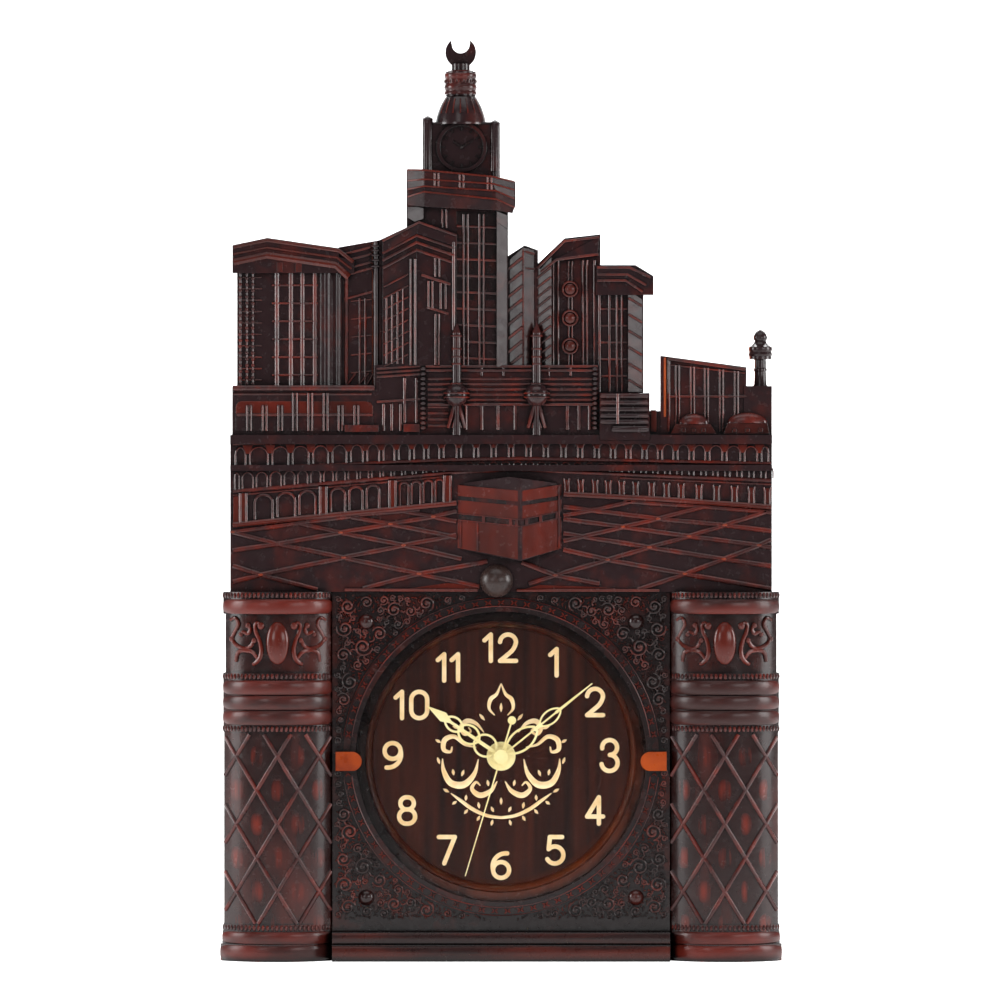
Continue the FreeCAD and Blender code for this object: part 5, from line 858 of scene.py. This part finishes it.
POSTS_3 = (567, 581, 595.5, 608.6, 622, 636, 652, 667, 681.5, 699.5, 717, 735, 752, 768)


def arch(relief, left, right, crown, spring, foot, wide, high):
    """Round arch with its two legs, seen from the front."""
    half, middle = (right - left) / 2, (left + right) / 2
    top = [(middle - half * cosine, spring - (spring - crown) * sine)
           for cosine, sine in bend(8)[1:-1]]
    relief.ridge([(left, foot), (left, spring), *top, (right, spring), (right, foot)], wide, high)


def arcades():
    with Relief("courtyard_mouldings", ridged, 0.1, LAID) as lines:
        for run, drop, wide, high in (
                (TIER_1_TOP, 0, 1.5, 0.9), (TIER_1_FOOT, 0, 2.2, 1.1), (TIER_2_FOOT, 0, 2.0, 1.0),
                (TIER_1_TOP, -4, 1.2, 0.7), (TIER_2_FOOT[:3], 4, 1.2, 0.6),
                (TIER_2_FOOT[4:], 4, 1.2, 0.6)):
            lines.ridge([(x, y + drop) for x, y in run], wide, high)
    with Relief("courtyard_sill", rubbed, 0.15, LAID) as sill:
        for run in (TIER_3_WEST, TIER_3_EAST):
            sill.ridge(run, 2.6, 1.8)
    with Relief("courtyard_upper_arches", ridged, 0, LAID) as arches:
        for left, right in zip((LEFT_EDGE,) + POSTS_1, POSTS_1 + (771,)):
            middle = (left + right) / 2
            top, foot = level(TIER_1_TOP, middle) + 2.5, level(TIER_1_FOOT, middle) - 2
            arch(arches, left + 2.2, right - 2.2, top + 1.2, top + (foot - top) * 0.48, foot,
                 0.9, 0.9)
    with Relief("courtyard_spandrels", rubbed, 0.1) as wedges:
        for x in POSTS_1:
            top = level(TIER_1_TOP, x) + 1.5
            wedges.flat([(x - 5.2, top), (x + 5.2, top), (x + 2.3, top + 9), (x - 2.3, top + 9)],
                        COURT - 0.7, COURT + 0.3)
    with Relief("courtyard_middle_arches", ridged, 0, LAID) as arches:
        bays = [(left + 1.6, right - 1.6, 4, 1.5, 0.4)
                for left, right in zip((LEFT_EDGE,) + POSTS_2, POSTS_2)]
        bays += [(x - 3.6, x + 3.6, 3.2, 2, 0.45) for x in between(470, 770, 26)]
        for left, right, below, above, share in bays:
            middle = (left + right) / 2
            top, foot = level(TIER_1_FOOT, middle) + below, level(TIER_2_FOOT, middle) - above
            arch(arches, left, right, top, top + (foot - top) * share, foot, 0.8, 0.7)


def lower_arcades():
    arches = Relief("courtyard_lower_arches", ridged, 0, LAID)
    backs = Relief("courtyard_arch_backs", rubbed, 0.1)
    for left, right in ARCHES_3:
        middle = (left + right) / 2
        top, foot = level(TIER_2_FOOT, middle) + 6, level(TIER_3_WEST, middle) - 2.5
        arch(arches, left, right, top, top + (right - left) * 0.42, foot, 1.3, 1.2)
    for x in COLUMNS_3:
        top, foot = level(TIER_2_FOOT, x) + 3, level(TIER_3_WEST, x) - 1
        arches.uprights(pairs((x,), 3), top, foot, 1.3, 1.5)
        backs.flat(rectangle(x - 2.6, x + 2.6, top, foot), COURT - 1.0, COURT + 0.3)
    backs.flat([(LEFT_EDGE, 497), (240, 496), (240, 523), (LEFT_EDGE, 524)], COURT - 0.8,
               COURT + 0.3)
    for index, x in enumerate(POSTS_3):
        top, foot = level(TIER_2_FOOT, x) + 7, level(TIER_3_EAST, x) - 1.5
        gap = 2.0 + 0.6 * index / 13
        for side in (-gap, gap):
            arches.ridge([(x + side * 1.5, top), (x + side, top + 5), (x + side, foot)], 0.9, 1.1)
        backs.flat(rectangle(x - gap, x + gap, top + 1, foot), COURT - 0.5, COURT + 0.3)
    arches.done()
    backs.done()


FLOOR_LINES = (
    ((233, 532), (274.5, 543.3), (343.9, 557.6), (419.4, 573.9), (480, 587)),
    ((298, 523), (340.8, 532.7), (404, 545.3), (462, 559)),
    ((351, 517), (390.8, 524), (457, 537.5)),
    ((400, 510.6), (433.7, 516.7), (457, 521.5)),
    ((233, 565.7), (261, 574.9), (318, 590)),
    ((233, 550.4), (281.6, 543.3), (340.8, 532.7), (390.8, 524), (433.7, 516.7), (457, 511)),
    ((233, 582), (261, 574.9), (343.9, 557.6), (404, 545.3), (457, 535)),
    ((363, 589), (419.4, 573.9), (488, 561.5)),
    ((233, 532), (314, 521), (369.4, 513.7), (420, 509.6)),
    ((529, 584), (555.5, 575.5), (608, 559.8), (649.8, 547.3), (689.6, 536.3), (725.3, 525.1),
     (767, 511.4)),
    ((638.2, 590), (685.5, 574), (724.3, 559.2), (759.6, 545.3), (771.8, 539.5)),
    ((563.7, 541), (586, 536), (623.3, 527), (658.6, 518.8), (704, 506.5)),
    ((563.7, 515.7), (604.5, 508), (632, 501)),
    ((563.7, 507), (610, 512.5), (658.6, 518.8), (725.3, 525.1), (771.8, 531)),
    ((563.7, 519), (623.3, 527), (689.6, 536.3), (759.6, 545.3), (771.8, 547.5)),
    ((563.7, 533.5), (586, 537), (649.8, 547.3), (724.3, 559.2), (771.8, 566)),
    ((563.7, 549.5), (608, 559.8), (685.5, 574), (771.8, 589)),
    ((522, 562), (555.5, 575.5), (600, 584)),
    ((624, 501), (702.4, 506.5), (765.7, 511.6), (771.8, 512.5)),
)


def courtyard_floor():
    with Relief("courtyard_floor", ridged, 0.18, LAID) as lines:
        for index, run in enumerate(FLOOR_LINES):
            lines.ridge(run, 2.6, 1.0 + 0.06 * (index % 3), top=0.42)
    # painted highlight: the knots at the crossings are coloured brighter orange to stand for
    # highlights
    with Relief("courtyard_knots", knot_highlight) as knots:
        points = [point for run in FLOOR_LINES for point in run]
        knots.beads([point for point in dict.fromkeys(points) if points.count(point) > 1],
                    COURT - 0.75, (1.5, 0.6, 0.75), 10)
    with Relief("courtyard_lip", rubbed, 0.2, LAID) as lip:
        lip.bars((590,), 345, 478, 1.5, 1.6, 0.5)
        lip.bars((590.5,), 517, 660, 1.5, 1.6)
        lip.facet([(400, 590, -9.2), (447, 583, -9.2), (470, 584, -9.8), (480, 590, -9.8)], -8.7)
        lip.facet([(521, 590, -9.8), (540, 585, -9.4), (600, 587, -9.2), (628, 590, -9.2)], -8.7)


CUBE_TOP = ((458, 485), (521, 491), (562, 484.5))
CUBE_BELT = ((458, 513.5), (521, 520), (562, 511))
CUBE_FOOT = ((458.5, 548), (521, 560), (561.5, 548.5))
CUBE_DEPTH = ((458, -8.8), (521, -19.2), (562, -8.8))


def cube_plate(relief, outline, out, sunk=0.4):
    """Plate on one of the cube's two faces, which are farthest forward where they meet."""
    points = [(across(gx), level(CUBE_DEPTH, gx), height(gy)) for gx, gy in outline]
    relief.loft([[(x, y + shift, z) for x, y, z in points] for shift in (-out, sunk)])


def cube_dress():
    walls = Relief("cube_walls", rubbed, 0.12)
    band = Relief("cube_band", near_black, 0.1)
    trim = Relief("cube_trim", ridged, 0.1)
    for k in (0, 1):
        (x0, top0), (x1, top1) = CUBE_TOP[k:k + 2]
        (_, belt0), (_, belt1) = CUBE_BELT[k:k + 2]
        (_, foot0), (_, foot1) = CUBE_FOOT[k:k + 2]
        for relief, out, high0, high1, low0, low1 in (
                (walls, 0.25, top0, top1, top0 + 11, top1 + 11),
                (band, 0.05, top0 + 11, top1 + 11, top0 + 15, top1 + 15),
                (walls, 0.25, top0 + 15, top1 + 15, belt0, belt1),
                (band, 0.05, belt0, belt1, belt0 + 6.5, belt1 + 7),
                (walls, 0.25, belt0 + 6.5, belt1 + 7, foot0, foot1),
                (trim, 0.55, belt0 - 0.6, belt1 - 0.6, belt0 + 0.6, belt1 + 0.6),
                (trim, 0.55, belt0 + 5.9, belt1 + 5.9, belt0 + 7.1, belt1 + 7.1)):
            cube_plate(relief, [(x0, high0), (x1, high1), (x1, low1), (x0, low0)], out)
    for x in (484, 511, 517, 527, 541, 557.5):
        top = level(CUBE_BELT, x)
        cube_plate(trim, rectangle(x - 1.6, x + 1.6, top, top + 6.5), 0.6)
    for x, drop in ((461, 36), (478, 36), (559.5, 1)):
        top, foot = level(CUBE_TOP, x) + drop, level(CUBE_FOOT, x) - 1
        cube_plate(trim, rectangle(x - 1, x + 1, top, foot), 0.6)
    for relief in (walls, band, trim):
        relief.done()


# ------------------------------------------------------------------ frame round the dial
PLATE = -8.0
EMBOSSED = PLATE - 0.15
RIM = 79.0
STUD = (67.5, 69.0)
FRAME_SIDE, FRAME_TOP, FRAME_FOOT = 84.2, 184.3, 15.0
SPRIG = 1.9
# A leaf's edge: share of its length, and of its length across.
LEAF_EDGE = ((0, 0.12), (0.3, 0.3), (0.65, 0.26), (1, 0.03),
             (1, -0.03), (0.65, -0.26), (0.3, -0.3), (0, -0.12))


def packed_rounds():
    """Places of scrolls that fill one corner of the frame without touching: (x, up, size)."""
    chance = random.Random(7)
    rounds = [(*STUD, 4.6)]
    for biggest, smallest, tries in ((5.4, 4.2, 1300), (4.0, 2.8, 3120), (2.6, 1.7, 5200)):
        for _ in range(tries):
            size = chance.uniform(smallest, biggest)
            x, up = chance.uniform(10, 83.8 - size), chance.uniform(6, 81.8 - size)
            if hypot(x, up) >= RIM + 0.5 + size and all(
                    hypot(x - a, up - b) > size + other - 0.35 for a, b, other in rounds):
                rounds.append((x, up, size))
    return rounds[1:]


def loose_leaves(rounds):
    """Places and leans of small leaves in the gaps between the scrolls."""
    chance = random.Random(5)
    edge, stud_reach, apart = 82.3, 5.5, 1.25
    leaves = []
    for _ in range(9000):
        x, up = chance.uniform(8, edge), chance.uniform(4, 80.5)
        lean = chance.uniform(0, FULL)
        tip = (x + SPRIG * cos(lean), up + SPRIG * sin(lean))
        ends = ((x, up), tip)
        if (min(hypot(*end) for end in ends) >= RIM + 1.2 and max(tip) <= edge
                and hypot(x - STUD[0], up - STUD[1]) >= stud_reach
                and all(hypot(a - b, c - d) >= size * 0.9
                        for a, c in ends for b, d, size in rounds)
                and all(hypot(x - a, up - b) > apart for a, b, _ in leaves)):
            leaves.append((x, up, lean))
    return leaves


def stem(relief, start, end, first, last, bow_share):
    """Short bowed stalk between the rims of two scrolls."""
    (ax, az), (bx, bz) = start, end
    length, overlap = hypot(bx - ax, bz - az), 0.12
    path = []
    for share, (_, sine) in zip(between(first - overlap, last + overlap, 7), bend(6)):
        lift = bow_share * 1.6 * sine / length
        path.append((ax + (bx - ax) * share - (bz - az) * lift, PLATE - 0.2,
                     az + (bz - az) * share + (bx - ax) * lift))
    relief.tube(path, 0.5)


def leaf(relief, x, z, lean, length, rise, depth=PLATE):
    """Small pointed leaf that starts at (x, z) and leans the given way."""
    cosine, sine = cos(lean), sin(lean)
    if abs(x + length * cosine) > FRAME_SIDE or z + length > FRAME_TOP:
        return
    rings = []
    for y, shrink, slim, shift in ((depth + 0.2, 1, 1, 0), (depth - rise, 0.86, 0.301, 0.04)):
        rings.append([])
        for share, wide in LEAF_EDGE:
            along, aside = length * (share * shrink + shift), length * wide * slim
            rings[-1].append((x + cosine * along - sine * aside, y,
                              z + sine * along + cosine * aside))
    relief.loft(rings)


def scroll(relief, x, z, start, hand, size):
    """Curl that unrolls from an eye, with a fan of leaves at its open end; hand is 1 or -1."""
    turns, weight, eye = 1.15 + 0.09 * size, 0.55 + 0.09 * size, 0.24 * size
    path = []
    for share in between(0, 1, int(16 * turns) + 1):
        angle, radius = start + hand * FULL * turns * share, size * 0.86 * (0.16 + 0.84 * share)
        path.append((x + radius * cos(angle), EMBOSSED, z + radius * sin(angle),
                     (1.2 - 0.5 * share) * weight))
    relief.tube(path, 0.78)
    relief.ball((x, EMBOSSED, z), (eye, 0.85, eye), 10)
    if size > 2.4:
        for k in range(5):
            lean = start + hand * FULL * turns * (0.42 + 0.13 * k)
            reach = size * (0.62 + 0.05 * k)
            leaf(relief, x + reach * cos(lean), z + reach * sin(lean), lean + hand * 0.9,
                 size * 0.42, 0.75)


def filigree():
    """Scrolls and leaves in the four corners of the frame."""
    rounds = packed_rounds()
    sprigs = loose_leaves(rounds)
    for side, up, label in ((-1, 1, "top_left"), (-1, -1, "bottom_left"), (1, 1, "top_right"),
                            (1, -1, "bottom_right")):
        chance = random.Random(11)
        with Relief("filigree_" + label, corner_finish) as relief:
            for px, pz, size in rounds:
                x, z = side * px, DIAL_Z + up * pz
                if z - size < FRAME_FOOT:
                    continue
                hand = chance.choice((-1, 1))
                turn = chance.uniform(0, FULL)
                if side < 0:
                    turn, hand = pi - turn, -hand
                scroll(relief, x, z, up * turn, up * hand, size)
            for k, (px, pz, size) in enumerate(rounds):
                for qx, qz, reach in rounds[k + 1:]:
                    gap = hypot(px - qx, pz - qz)
                    if gap < size + reach + 1.3 and size + reach > 5:
                        stem(relief, (side * px, DIAL_Z + up * pz), (side * qx, DIAL_Z + up * qz),
                             size / gap, 1 - reach / gap, (k % 2) - 0.5)
            for px, pz, lean in sprigs:
                if DIAL_Z + up * pz > FRAME_FOOT + 1.5:
                    lean = lean if side > 0 else pi - lean
                    leaf(relief, side * px, DIAL_Z + up * pz, lean * up, SPRIG, 0.6)


def rim_band():
    """Ring of small leaves between the dial's opening and the filigree, but not at its clips."""
    clip_sine = 0.09
    with Relief("rim_leaves", rubbed) as leaves:
        for k, (cosine, sine) in enumerate(bend(150, FULL)[:-1]):
            for radius, lean, length in ((75.9, 0.85, 2.9), (78.4, 2.3, 2.7)):
                if abs(sine) >= clip_sine and abs(radius * cosine) < 83.5:
                    leaf(leaves, radius * cosine, DIAL_Z + radius * sine,
                         FULL * k / 150 + (lean if k % 2 else -lean), length, 0.55, -9.3)
    with Relief("rim_line", ridged) as edge:
        for radius, thick, depth in ((75.3, 0.35, -9.9), (79.2, 0.45, -8.6)):
            for start in (7.5, 187.5):
                edge.tube(arc(0, DIAL_Z, radius, depth, between(start, start + 165, 84)), thick)


def rounded_bar(tall, out, sunk):
    """Section of a bar with a rounded front and a back cut straight."""
    return ([(tall * cosine, out * sine ** 0.8) for cosine, sine in bend(12)]
            + [(-tall * 0.9, -sunk), (tall * 0.9, -sunk)])


def plinth_bars():
    """Two rounded bars across the foot of the frame."""
    with Relief("plinth_bars", sill_finish) as bars:
        for z, tall, depth in ((11.3, 2.9, -17.0), (4.1, 3.7, -19.0)):
            bars.sweep([(x, depth, z) for x in between(-84.3, 84.3, 9)],
                       rounded_bar(tall, 0.9, 0.5))


# ------------------------------------------------------------------ pillars
BEAD_HALF, BEAD_FRONT = 27.3, -21.8
# height of the middle, half height, half width and front of each roll
ROLLS = ((177.25, 3.75, 27.3, -22.4), (136.75, 3.7, 27.3, -22.4), (129.25, 3.7, 27.3, -22.4),
         (121.75, 3.7, 27.3, -22.4), (11.8, 3.2, 27.5, -22.4), (4.3, 4.2, 28.0, -22.3))
SHAFT_SIDES = -7.0
# Depth of the pillars' face under the lattice, and how far out from its middle the bars go.
LATTICE_FRONT, LATTICE_REACH = -20.9, 26.9
LATTICE_BAR = ((-1.25, -0.4), (-1.1, 0.25), (-0.75, 0.75), (-0.25, 1.0),
               (0.25, 1.0), (0.75, 0.75), (1.1, 0.25), (1.25, -0.4))
PANEL_SCROLLS = (
    # runs of (out from the middle, up from the cabochon's centre, size)
    ((8.4, 8.6, 0.8), (9.8, 10.2, 0.8), (11.2, 8.8, 0.9), (10.6, 5.2, 1.0), (9.0, 1.4, 1.0),
     (8.0, -3.0, 1.1), (8.6, -7.0, 1.1), (10.6, -9.6, 1.0), (12.4, -10.6, 0.8)),
    ((14.6, 8.8, 0.8), (13.6, 6.8, 0.9), (14.8, 4.8, 1.0), (17.4, 5.6, 0.8), (18.2, 4.4, 0.7)),
    ((9.2, -8.4, 0.9), (12.2, -4.6, 1.0), (15.0, -3.6, 1.1), (18.4, -3.8, 1.1), (20.2, -5.6, 1.0),
     (20.8, -9.4, 0.8)),
    ((12.0, 1.2, 0.8), (13.2, -1.4, 1.0), (16.2, -2.8, 1.0), (20.4, -1.2, 1.0), (22.8, 2.0, 0.9),
     (21.6, 5.2, 0.9), (19.6, 9.4, 1.0), (21.2, 12.6, 0.9), (23.6, 11.4, 0.8)),
)
PANEL_BEADS = ((8.2, 8.6, 1.9), (14.6, 8.8, 1.6), (22.8, 2.0, 1.7), (11.5, 1.4, 1.5),
               (18.2, 4.4, 1.4))


def bow_radius(half, apex, side=SHAFT_SIDES):
    """Radius of a bowed face, from its half width and the depths of its middle and sides."""
    rise = side - apex
    return (half * half + rise * rise) / (2 * rise)


def bow(offset, apex, side=SHAFT_SIDES):
    """Depth of a pillar's bowed face at a distance from its middle."""
    radius = bow_radius(SHAFT_HALF, apex, side)
    return apex + radius - sqrt(radius * radius - offset * offset)


def bow_arc(half, apex, inset, ends, count):
    """Points (across, depth) along a bowed face, moved in by inset, and by ends at its ends."""
    radius = bow_radius(half, apex)
    points = []
    for share in between(-1, 1, count):
        near, lean = radius - inset - ends * share ** 4, share * asin(half / radius)
        points.append((near * sin(lean), apex + radius - near * cos(lean)))
    return points


def smooth(path, per=5):
    """Catmull-Rom run through points of any length."""
    full = [path[0], *path, path[-1]]
    result = []
    for run in zip(full, full[1:], full[2:], full[3:]):
        for t in between(0, 1, per + 1)[:-1]:
            result.append(tuple(
                0.5 * (2 * q1 + (q2 - q0) * t + (2 * q0 - 5 * q1 + 4 * q2 - q3) * t * t
                       + (3 * q1 - q0 - 3 * q2 + q3) * t ** 3) for q0, q1, q2, q3 in zip(*run)))
    return result + [path[-1]]


def pillar(label, hand):
    with Relief("bead_rows_" + label, ridged) as beads:
        for z in (182.75, 142.25, 116.25, 16.75):
            for offset, depth in bow_arc(BEAD_HALF, BEAD_FRONT, 0.2, 0.5, 29):
                beads.ball((hand * (PILLAR_INNER + BEAD_HALF) + offset, depth, z),
                           (1.02, 1.05, 1.65), 8)
    with Relief("rolls_" + label, rolled) as rolls:
        for z, tall, half, front in ROLLS:
            rolls.sweep([(hand * (PILLAR_INNER + half) + offset, depth, z)
                         for offset, depth in bow_arc(half, front, 0.05, 1.15, 49)],
                        rounded_bar(tall, 1.35, 1.2))
    centre = hand * (PILLAR_INNER + SHAFT_HALF)
    top, foot = height(734), height(923)
    with Relief("lattice_" + label, ridged, sharp=50) as lattice:
        for lean in (-1, 1):
            for k in range(-9, 10):
                points = [(LATTICE_X * (lean * (z - LATTICE_NODE) / LATTICE_Z + 2 * k), z)
                          for z in between(foot, top, 60)]
                path = [(centre + offset, bow(offset, LATTICE_FRONT), z) for offset, z in points
                        if abs(offset) <= LATTICE_REACH]
                if len(path) > 2:
                    lattice.sweep(path, LATTICE_BAR)
    z, front, sides = height(643), -20.0, -6.0
    with Relief("cabochon_" + label, rubbed) as panel:
        panel.ball((centre, -19.6, z), (5.8, 3.0, 10.8), 28, 14)
    with Relief("panel_scrolls_" + label, rubbed) as ornament:
        for side in (-1, 1):
            for run in PANEL_SCROLLS:
                ornament.tube(smooth([(centre + side * out, bow(out, front, sides) - 0.1, z + up,
                                       size) for out, up, size in run]), 1.15, 10)
            for out, up, radius in PANEL_BEADS:
                ornament.ball((centre + side * out, bow(out, front - 0.2, sides), z + up),
                              (radius, 1.2, radius), 12, 8)


# ------------------------------------------------------------------ gold scrollwork of the dial
STROKES = (
    # runs of (out from the middle, up from the hub, width), mirrored to both sides
    ((3.2, 20.5, 0.5), (6.0, 24.0, 1.5), (5.2, 28.6, 2.1), (2.2, 31.2, 1.6), (0.0, 36.5, 0.5)),
    ((8.6, 12.0, 0.5), (12.6, 16.4, 1.8), (17.2, 17.6, 2.5), (20.0, 14.4, 2.3), (18.2, 11.0, 1.7),
     (15.2, 12.4, 1.0), (16.4, 14.4, 0.6)),
    ((12.4, 4.5, 0.5), (18.0, 5.8, 1.4), (23.4, 9.8, 2.1), (28.2, 8.2, 2.6), (28.8, 3.4, 2.2),
     (25.4, 2.2, 1.4), (24.6, 4.8, 0.7)),
    ((11.4, -1.5, 0.5), (13.4, -8.8, 2.2), (18.6, -14.2, 3.4), (25.2, -13.4, 3.2),
     (28.8, -7.2, 2.2), (29.4, -1.2, 0.5)),
    ((2.0, -12.6, 0.5), (5.2, -17.4, 2.2), (10.6, -19.6, 2.8), (14.6, -16.4, 2.0),
     (12.6, -13.0, 1.3), (10.4, -14.8, 0.6)),
    ((0.0, -30.8, 1.5), (7.0, -29.8, 1.7), (14.2, -26.6, 1.9), (20.6, -22.0, 1.6),
     (25.2, -18.6, 0.5)),
)
LEAVES = (
    # (out from the middle, up from the hub, lean from upright in degrees, length)
    (0.0, 24.5, 0, 4.6), (9.6, 19.6, 40, 4.2), (22.6, 14.4, 70, 3.8), (31.6, 7.6, 60, 3.2),
    (31.4, -2.2, 20, 3.6), (19.2, -8.4, -20, 3.4), (24.0, -8.0, 10, 3.2), (6.6, -13.4, 10, 3.2),
    (4.6, -33.4, 165, 3.0), (4.4, -26.6, 25, 3.0), (11.4, -31.2, 150, 3.0),
    (11.2, -24.6, 10, 3.2), (17.6, -27.8, 140, 3.0), (17.6, -20.8, -5, 3.0),
    (23.4, -23.4, 125, 2.8), (27.6, -17.2, 60, 3.4), (0.0, -22.6, 180, 3.6),
)
# A gold leaf: share of its length, and width there.
LEAF_WIDTHS = ((0, 0.3), (0.2, 1.0), (0.45, 1.6), (0.7, 1.2), (0.9, 0.5), (1, 0.1))


def stroke(relief, path):
    """Flat tapering stroke laid on the dial, from runs of (x, z, width)."""
    laid, shoulder, face = -0.02, -0.2, -0.4
    rings = []
    for index, (x, z, wide) in enumerate(path):
        before, after = path[max(index - 1, 0)], path[min(index + 1, len(path) - 1)]
        along = Vector((after[0] - before[0], after[1] - before[1])).normalized()
        side = Vector((-along.y, along.x)) * wide / 2
        rings.append([(x + side.x * share, y, z + side.y * share) for share, y in
                      ((-1, laid), (-1, shoulder), (-0.78, face), (0.78, face), (1, shoulder),
                       (1, laid))])
    relief.loft(rings)


def gold_scrollwork():
    with Relief("dial_scrollwork", FINISHES["gold_foil"], sharp=50, slot="gold_foil") as relief:
        for side in (-1, 1):
            for run in STROKES:
                stroke(relief, [(side * x, DIAL_Z + z, wide) for x, z, wide in smooth(run, 7)])
        for x, z, lean, length in LEAVES:
            for side in (-1, 1) if x else (1,):
                tilt = radians(lean) * side
                stroke(relief, [(side * x + sin(tilt) * length * (share - 0.5),
                                 DIAL_Z + z + cos(tilt) * length * (share - 0.5), wide)
                                for share, wide in LEAF_WIDTHS])
    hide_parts("dial_ornament")


def push_spring():
    """Coil behind the azan button, built at the length of the part it replaces."""
    low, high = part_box("button_spring")
    x, z = (low[0] + high[0]) / 2 / MM, (low[2] + high[2]) / 2 / MM
    wire, turns, travel = 0.35, 5, 0.002
    radius = (high[0] - low[0]) / 2 / MM - wire
    back, front = high[1] / MM - wire, low[1] / MM + wire
    steps = 30 * turns
    with Relief("button_spring_coil", FINISHES["steel"], slot="steel") as coil:
        coil.tube([(x + radius * cosine, back + (front - back) * k / steps, z + radius * sine)
                   for k, (cosine, sine) in enumerate(bend(steps, FULL * turns))], wire, 10)
    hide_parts("button_spring")
    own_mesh(coil.piece)


for build in (west_tower, west_block, second_tower, third_tower, clock_shaft, clock_collar,
              clock_house, finial, dome_ribs, minaret, fifth_tower, sixth_tower, seventh_tower,
              drum, east_block, middle_row, push_spring, plinth_bars, gold_scrollwork, arcades,
              lower_arcades, courtyard_floor, cube_dress, filigree, rim_band):
    build()
pillar("left", -1)
pillar("right", 1)


# ------------------------------------------------------------------ CAD nodes kept as they are
for entry in frame["record"]["subparts"]:
    materials = nodes[entry["node"]].data.materials
    materials.clear()
    materials.append(FINISHES[entry["material_slot"]])
for name, finish in (("pillar_left", column), ("pillar_right", column), ("corner_studs", column),
                     ("dial_frame", frame_finish)):
    nodes[name].data.materials[0] = finish
for name, width in (("skyline_panel", 0.35), ("dial_frame", 0.3), ("back_cover", 0.4),
                    ("battery_door", 0.35), ("lens_clip_left", 0.3), ("lens_clip_right", 0.3),
                    ("dial_numerals", 0.12), ("movement_case", 0.3), ("speaker_frame", 0.2)):
    round_edges(nodes[name], width, angle=40.0)


# ------------------------------------------------------------------ stage, light and camera
def plane(name, corners, finish):
    mesh = bpy.data.meshes.new(name)
    mesh.from_pydata(corners, [], [(0, 1, 2, 3)])
    piece = bpy.data.objects.new(name, mesh)
    mesh.materials.append(finish)
    bpy.context.scene.collection.objects.link(piece)


def lamp(name, place, aim, size, power):
    data = bpy.data.lights.new(name, "AREA")
    data.shape = "RECTANGLE"
    data.size, data.size_y = size
    data.energy = power
    thing = bpy.data.objects.new(name, data)
    thing.location = place
    thing.rotation_euler = (Vector(aim) - Vector(place)).to_track_quat("-Z", "Y").to_euler()
    bpy.context.scene.collection.objects.link(thing)


def screen(share):
    """Grey as a screen shows it, in 0 to 255, of a share of white."""
    return (255 * share ** (1 / 2.2),) * 3


def pale_stage():
    """Pale matt paint that glows round the object's foot and fades out with distance."""
    middle_y, even, faded = 0.45, 0.75, 1.0
    finish = surface("pale_stage", screen(0.93), screen(0.96), (0.8, 0.95), bump=0.02, shine=0.1)
    tree = finish.node_tree
    shader = tree.nodes["Principled BSDF"]
    place = places(tree)
    away = math_node(tree, "SUBTRACT", place["Y"], middle_y)
    glow = ranged(tree, distance(tree, place["X"], away, place["Z"]), 0.86, 0.0, even, faded)
    tree.links.new(glow, shader.inputs["Emission Strength"])
    shader.inputs["Emission Color"].default_value = (1, 1, 1, 1)
    return finish


pale = pale_stage()
floor_z, reach, top = cad_box[0][2], 6, 8
plane("floor", [(-reach, -reach, floor_z), (reach, -reach, floor_z), (reach, reach, floor_z),
                (-reach, reach, floor_z)], pale)
plane("backdrop", [(-reach, reach, floor_z), (reach, reach, floor_z), (reach, reach, top),
                   (-reach, reach, top)], pale)
for side, label in ((-1, "left"), (1, "right")):
    lamp("side_" + label, (side * 1.4, -0.22, 0.52), (0, 0, 0.4), (0.5, 0.66), 14)
    lamp("low_" + label, (side * 1.4, -0.22, 0.1), (0, 0, 0.1), (0.5, 0.17), 1.0)
lamp("facet_left", (-0.61, -1.15, 0.43), (0, 0, 0.36), (0.27, 0.3), 1.9)
lamp("facet_right", (0.73, -1.08, 0.43), (0, 0, 0.36), (0.6, 0.3), 4.0)
lamp("top_soft", (0, -0.5, 1.6), (0, 0, 0.23), (1.6, 0.8), 8.5)
lamp("front_soft", (-0.5, -2.4, 1.7), (0, 0, 0.23), (0.9, 0.9), 5.5)
lamp("backdrop_light", (0, 2.2, 3.4), (0, 4.8, 0.0), (5, 2.5), 520)
world = bpy.data.worlds.new("studio")
world.use_nodes = True
world.node_tree.nodes["Background"].inputs["Color"].default_value = (0.93, 0.94, 1.0, 1)
world.node_tree.nodes["Background"].inputs["Strength"].default_value = 0.15
bpy.context.scene.world = world
bpy.context.scene.view_settings.view_transform = "Standard"

camera_data = bpy.data.cameras.new("camera")
camera_data.sensor_width = 36
camera_data.lens = 286.9
camera = bpy.data.objects.new("camera", camera_data)
camera.location = (-0.0003, -4.0, 0.2302)
camera.rotation_euler = (radians(90), 0, 0)
bpy.context.scene.collection.objects.link(camera)
bpy.context.scene.camera = camera
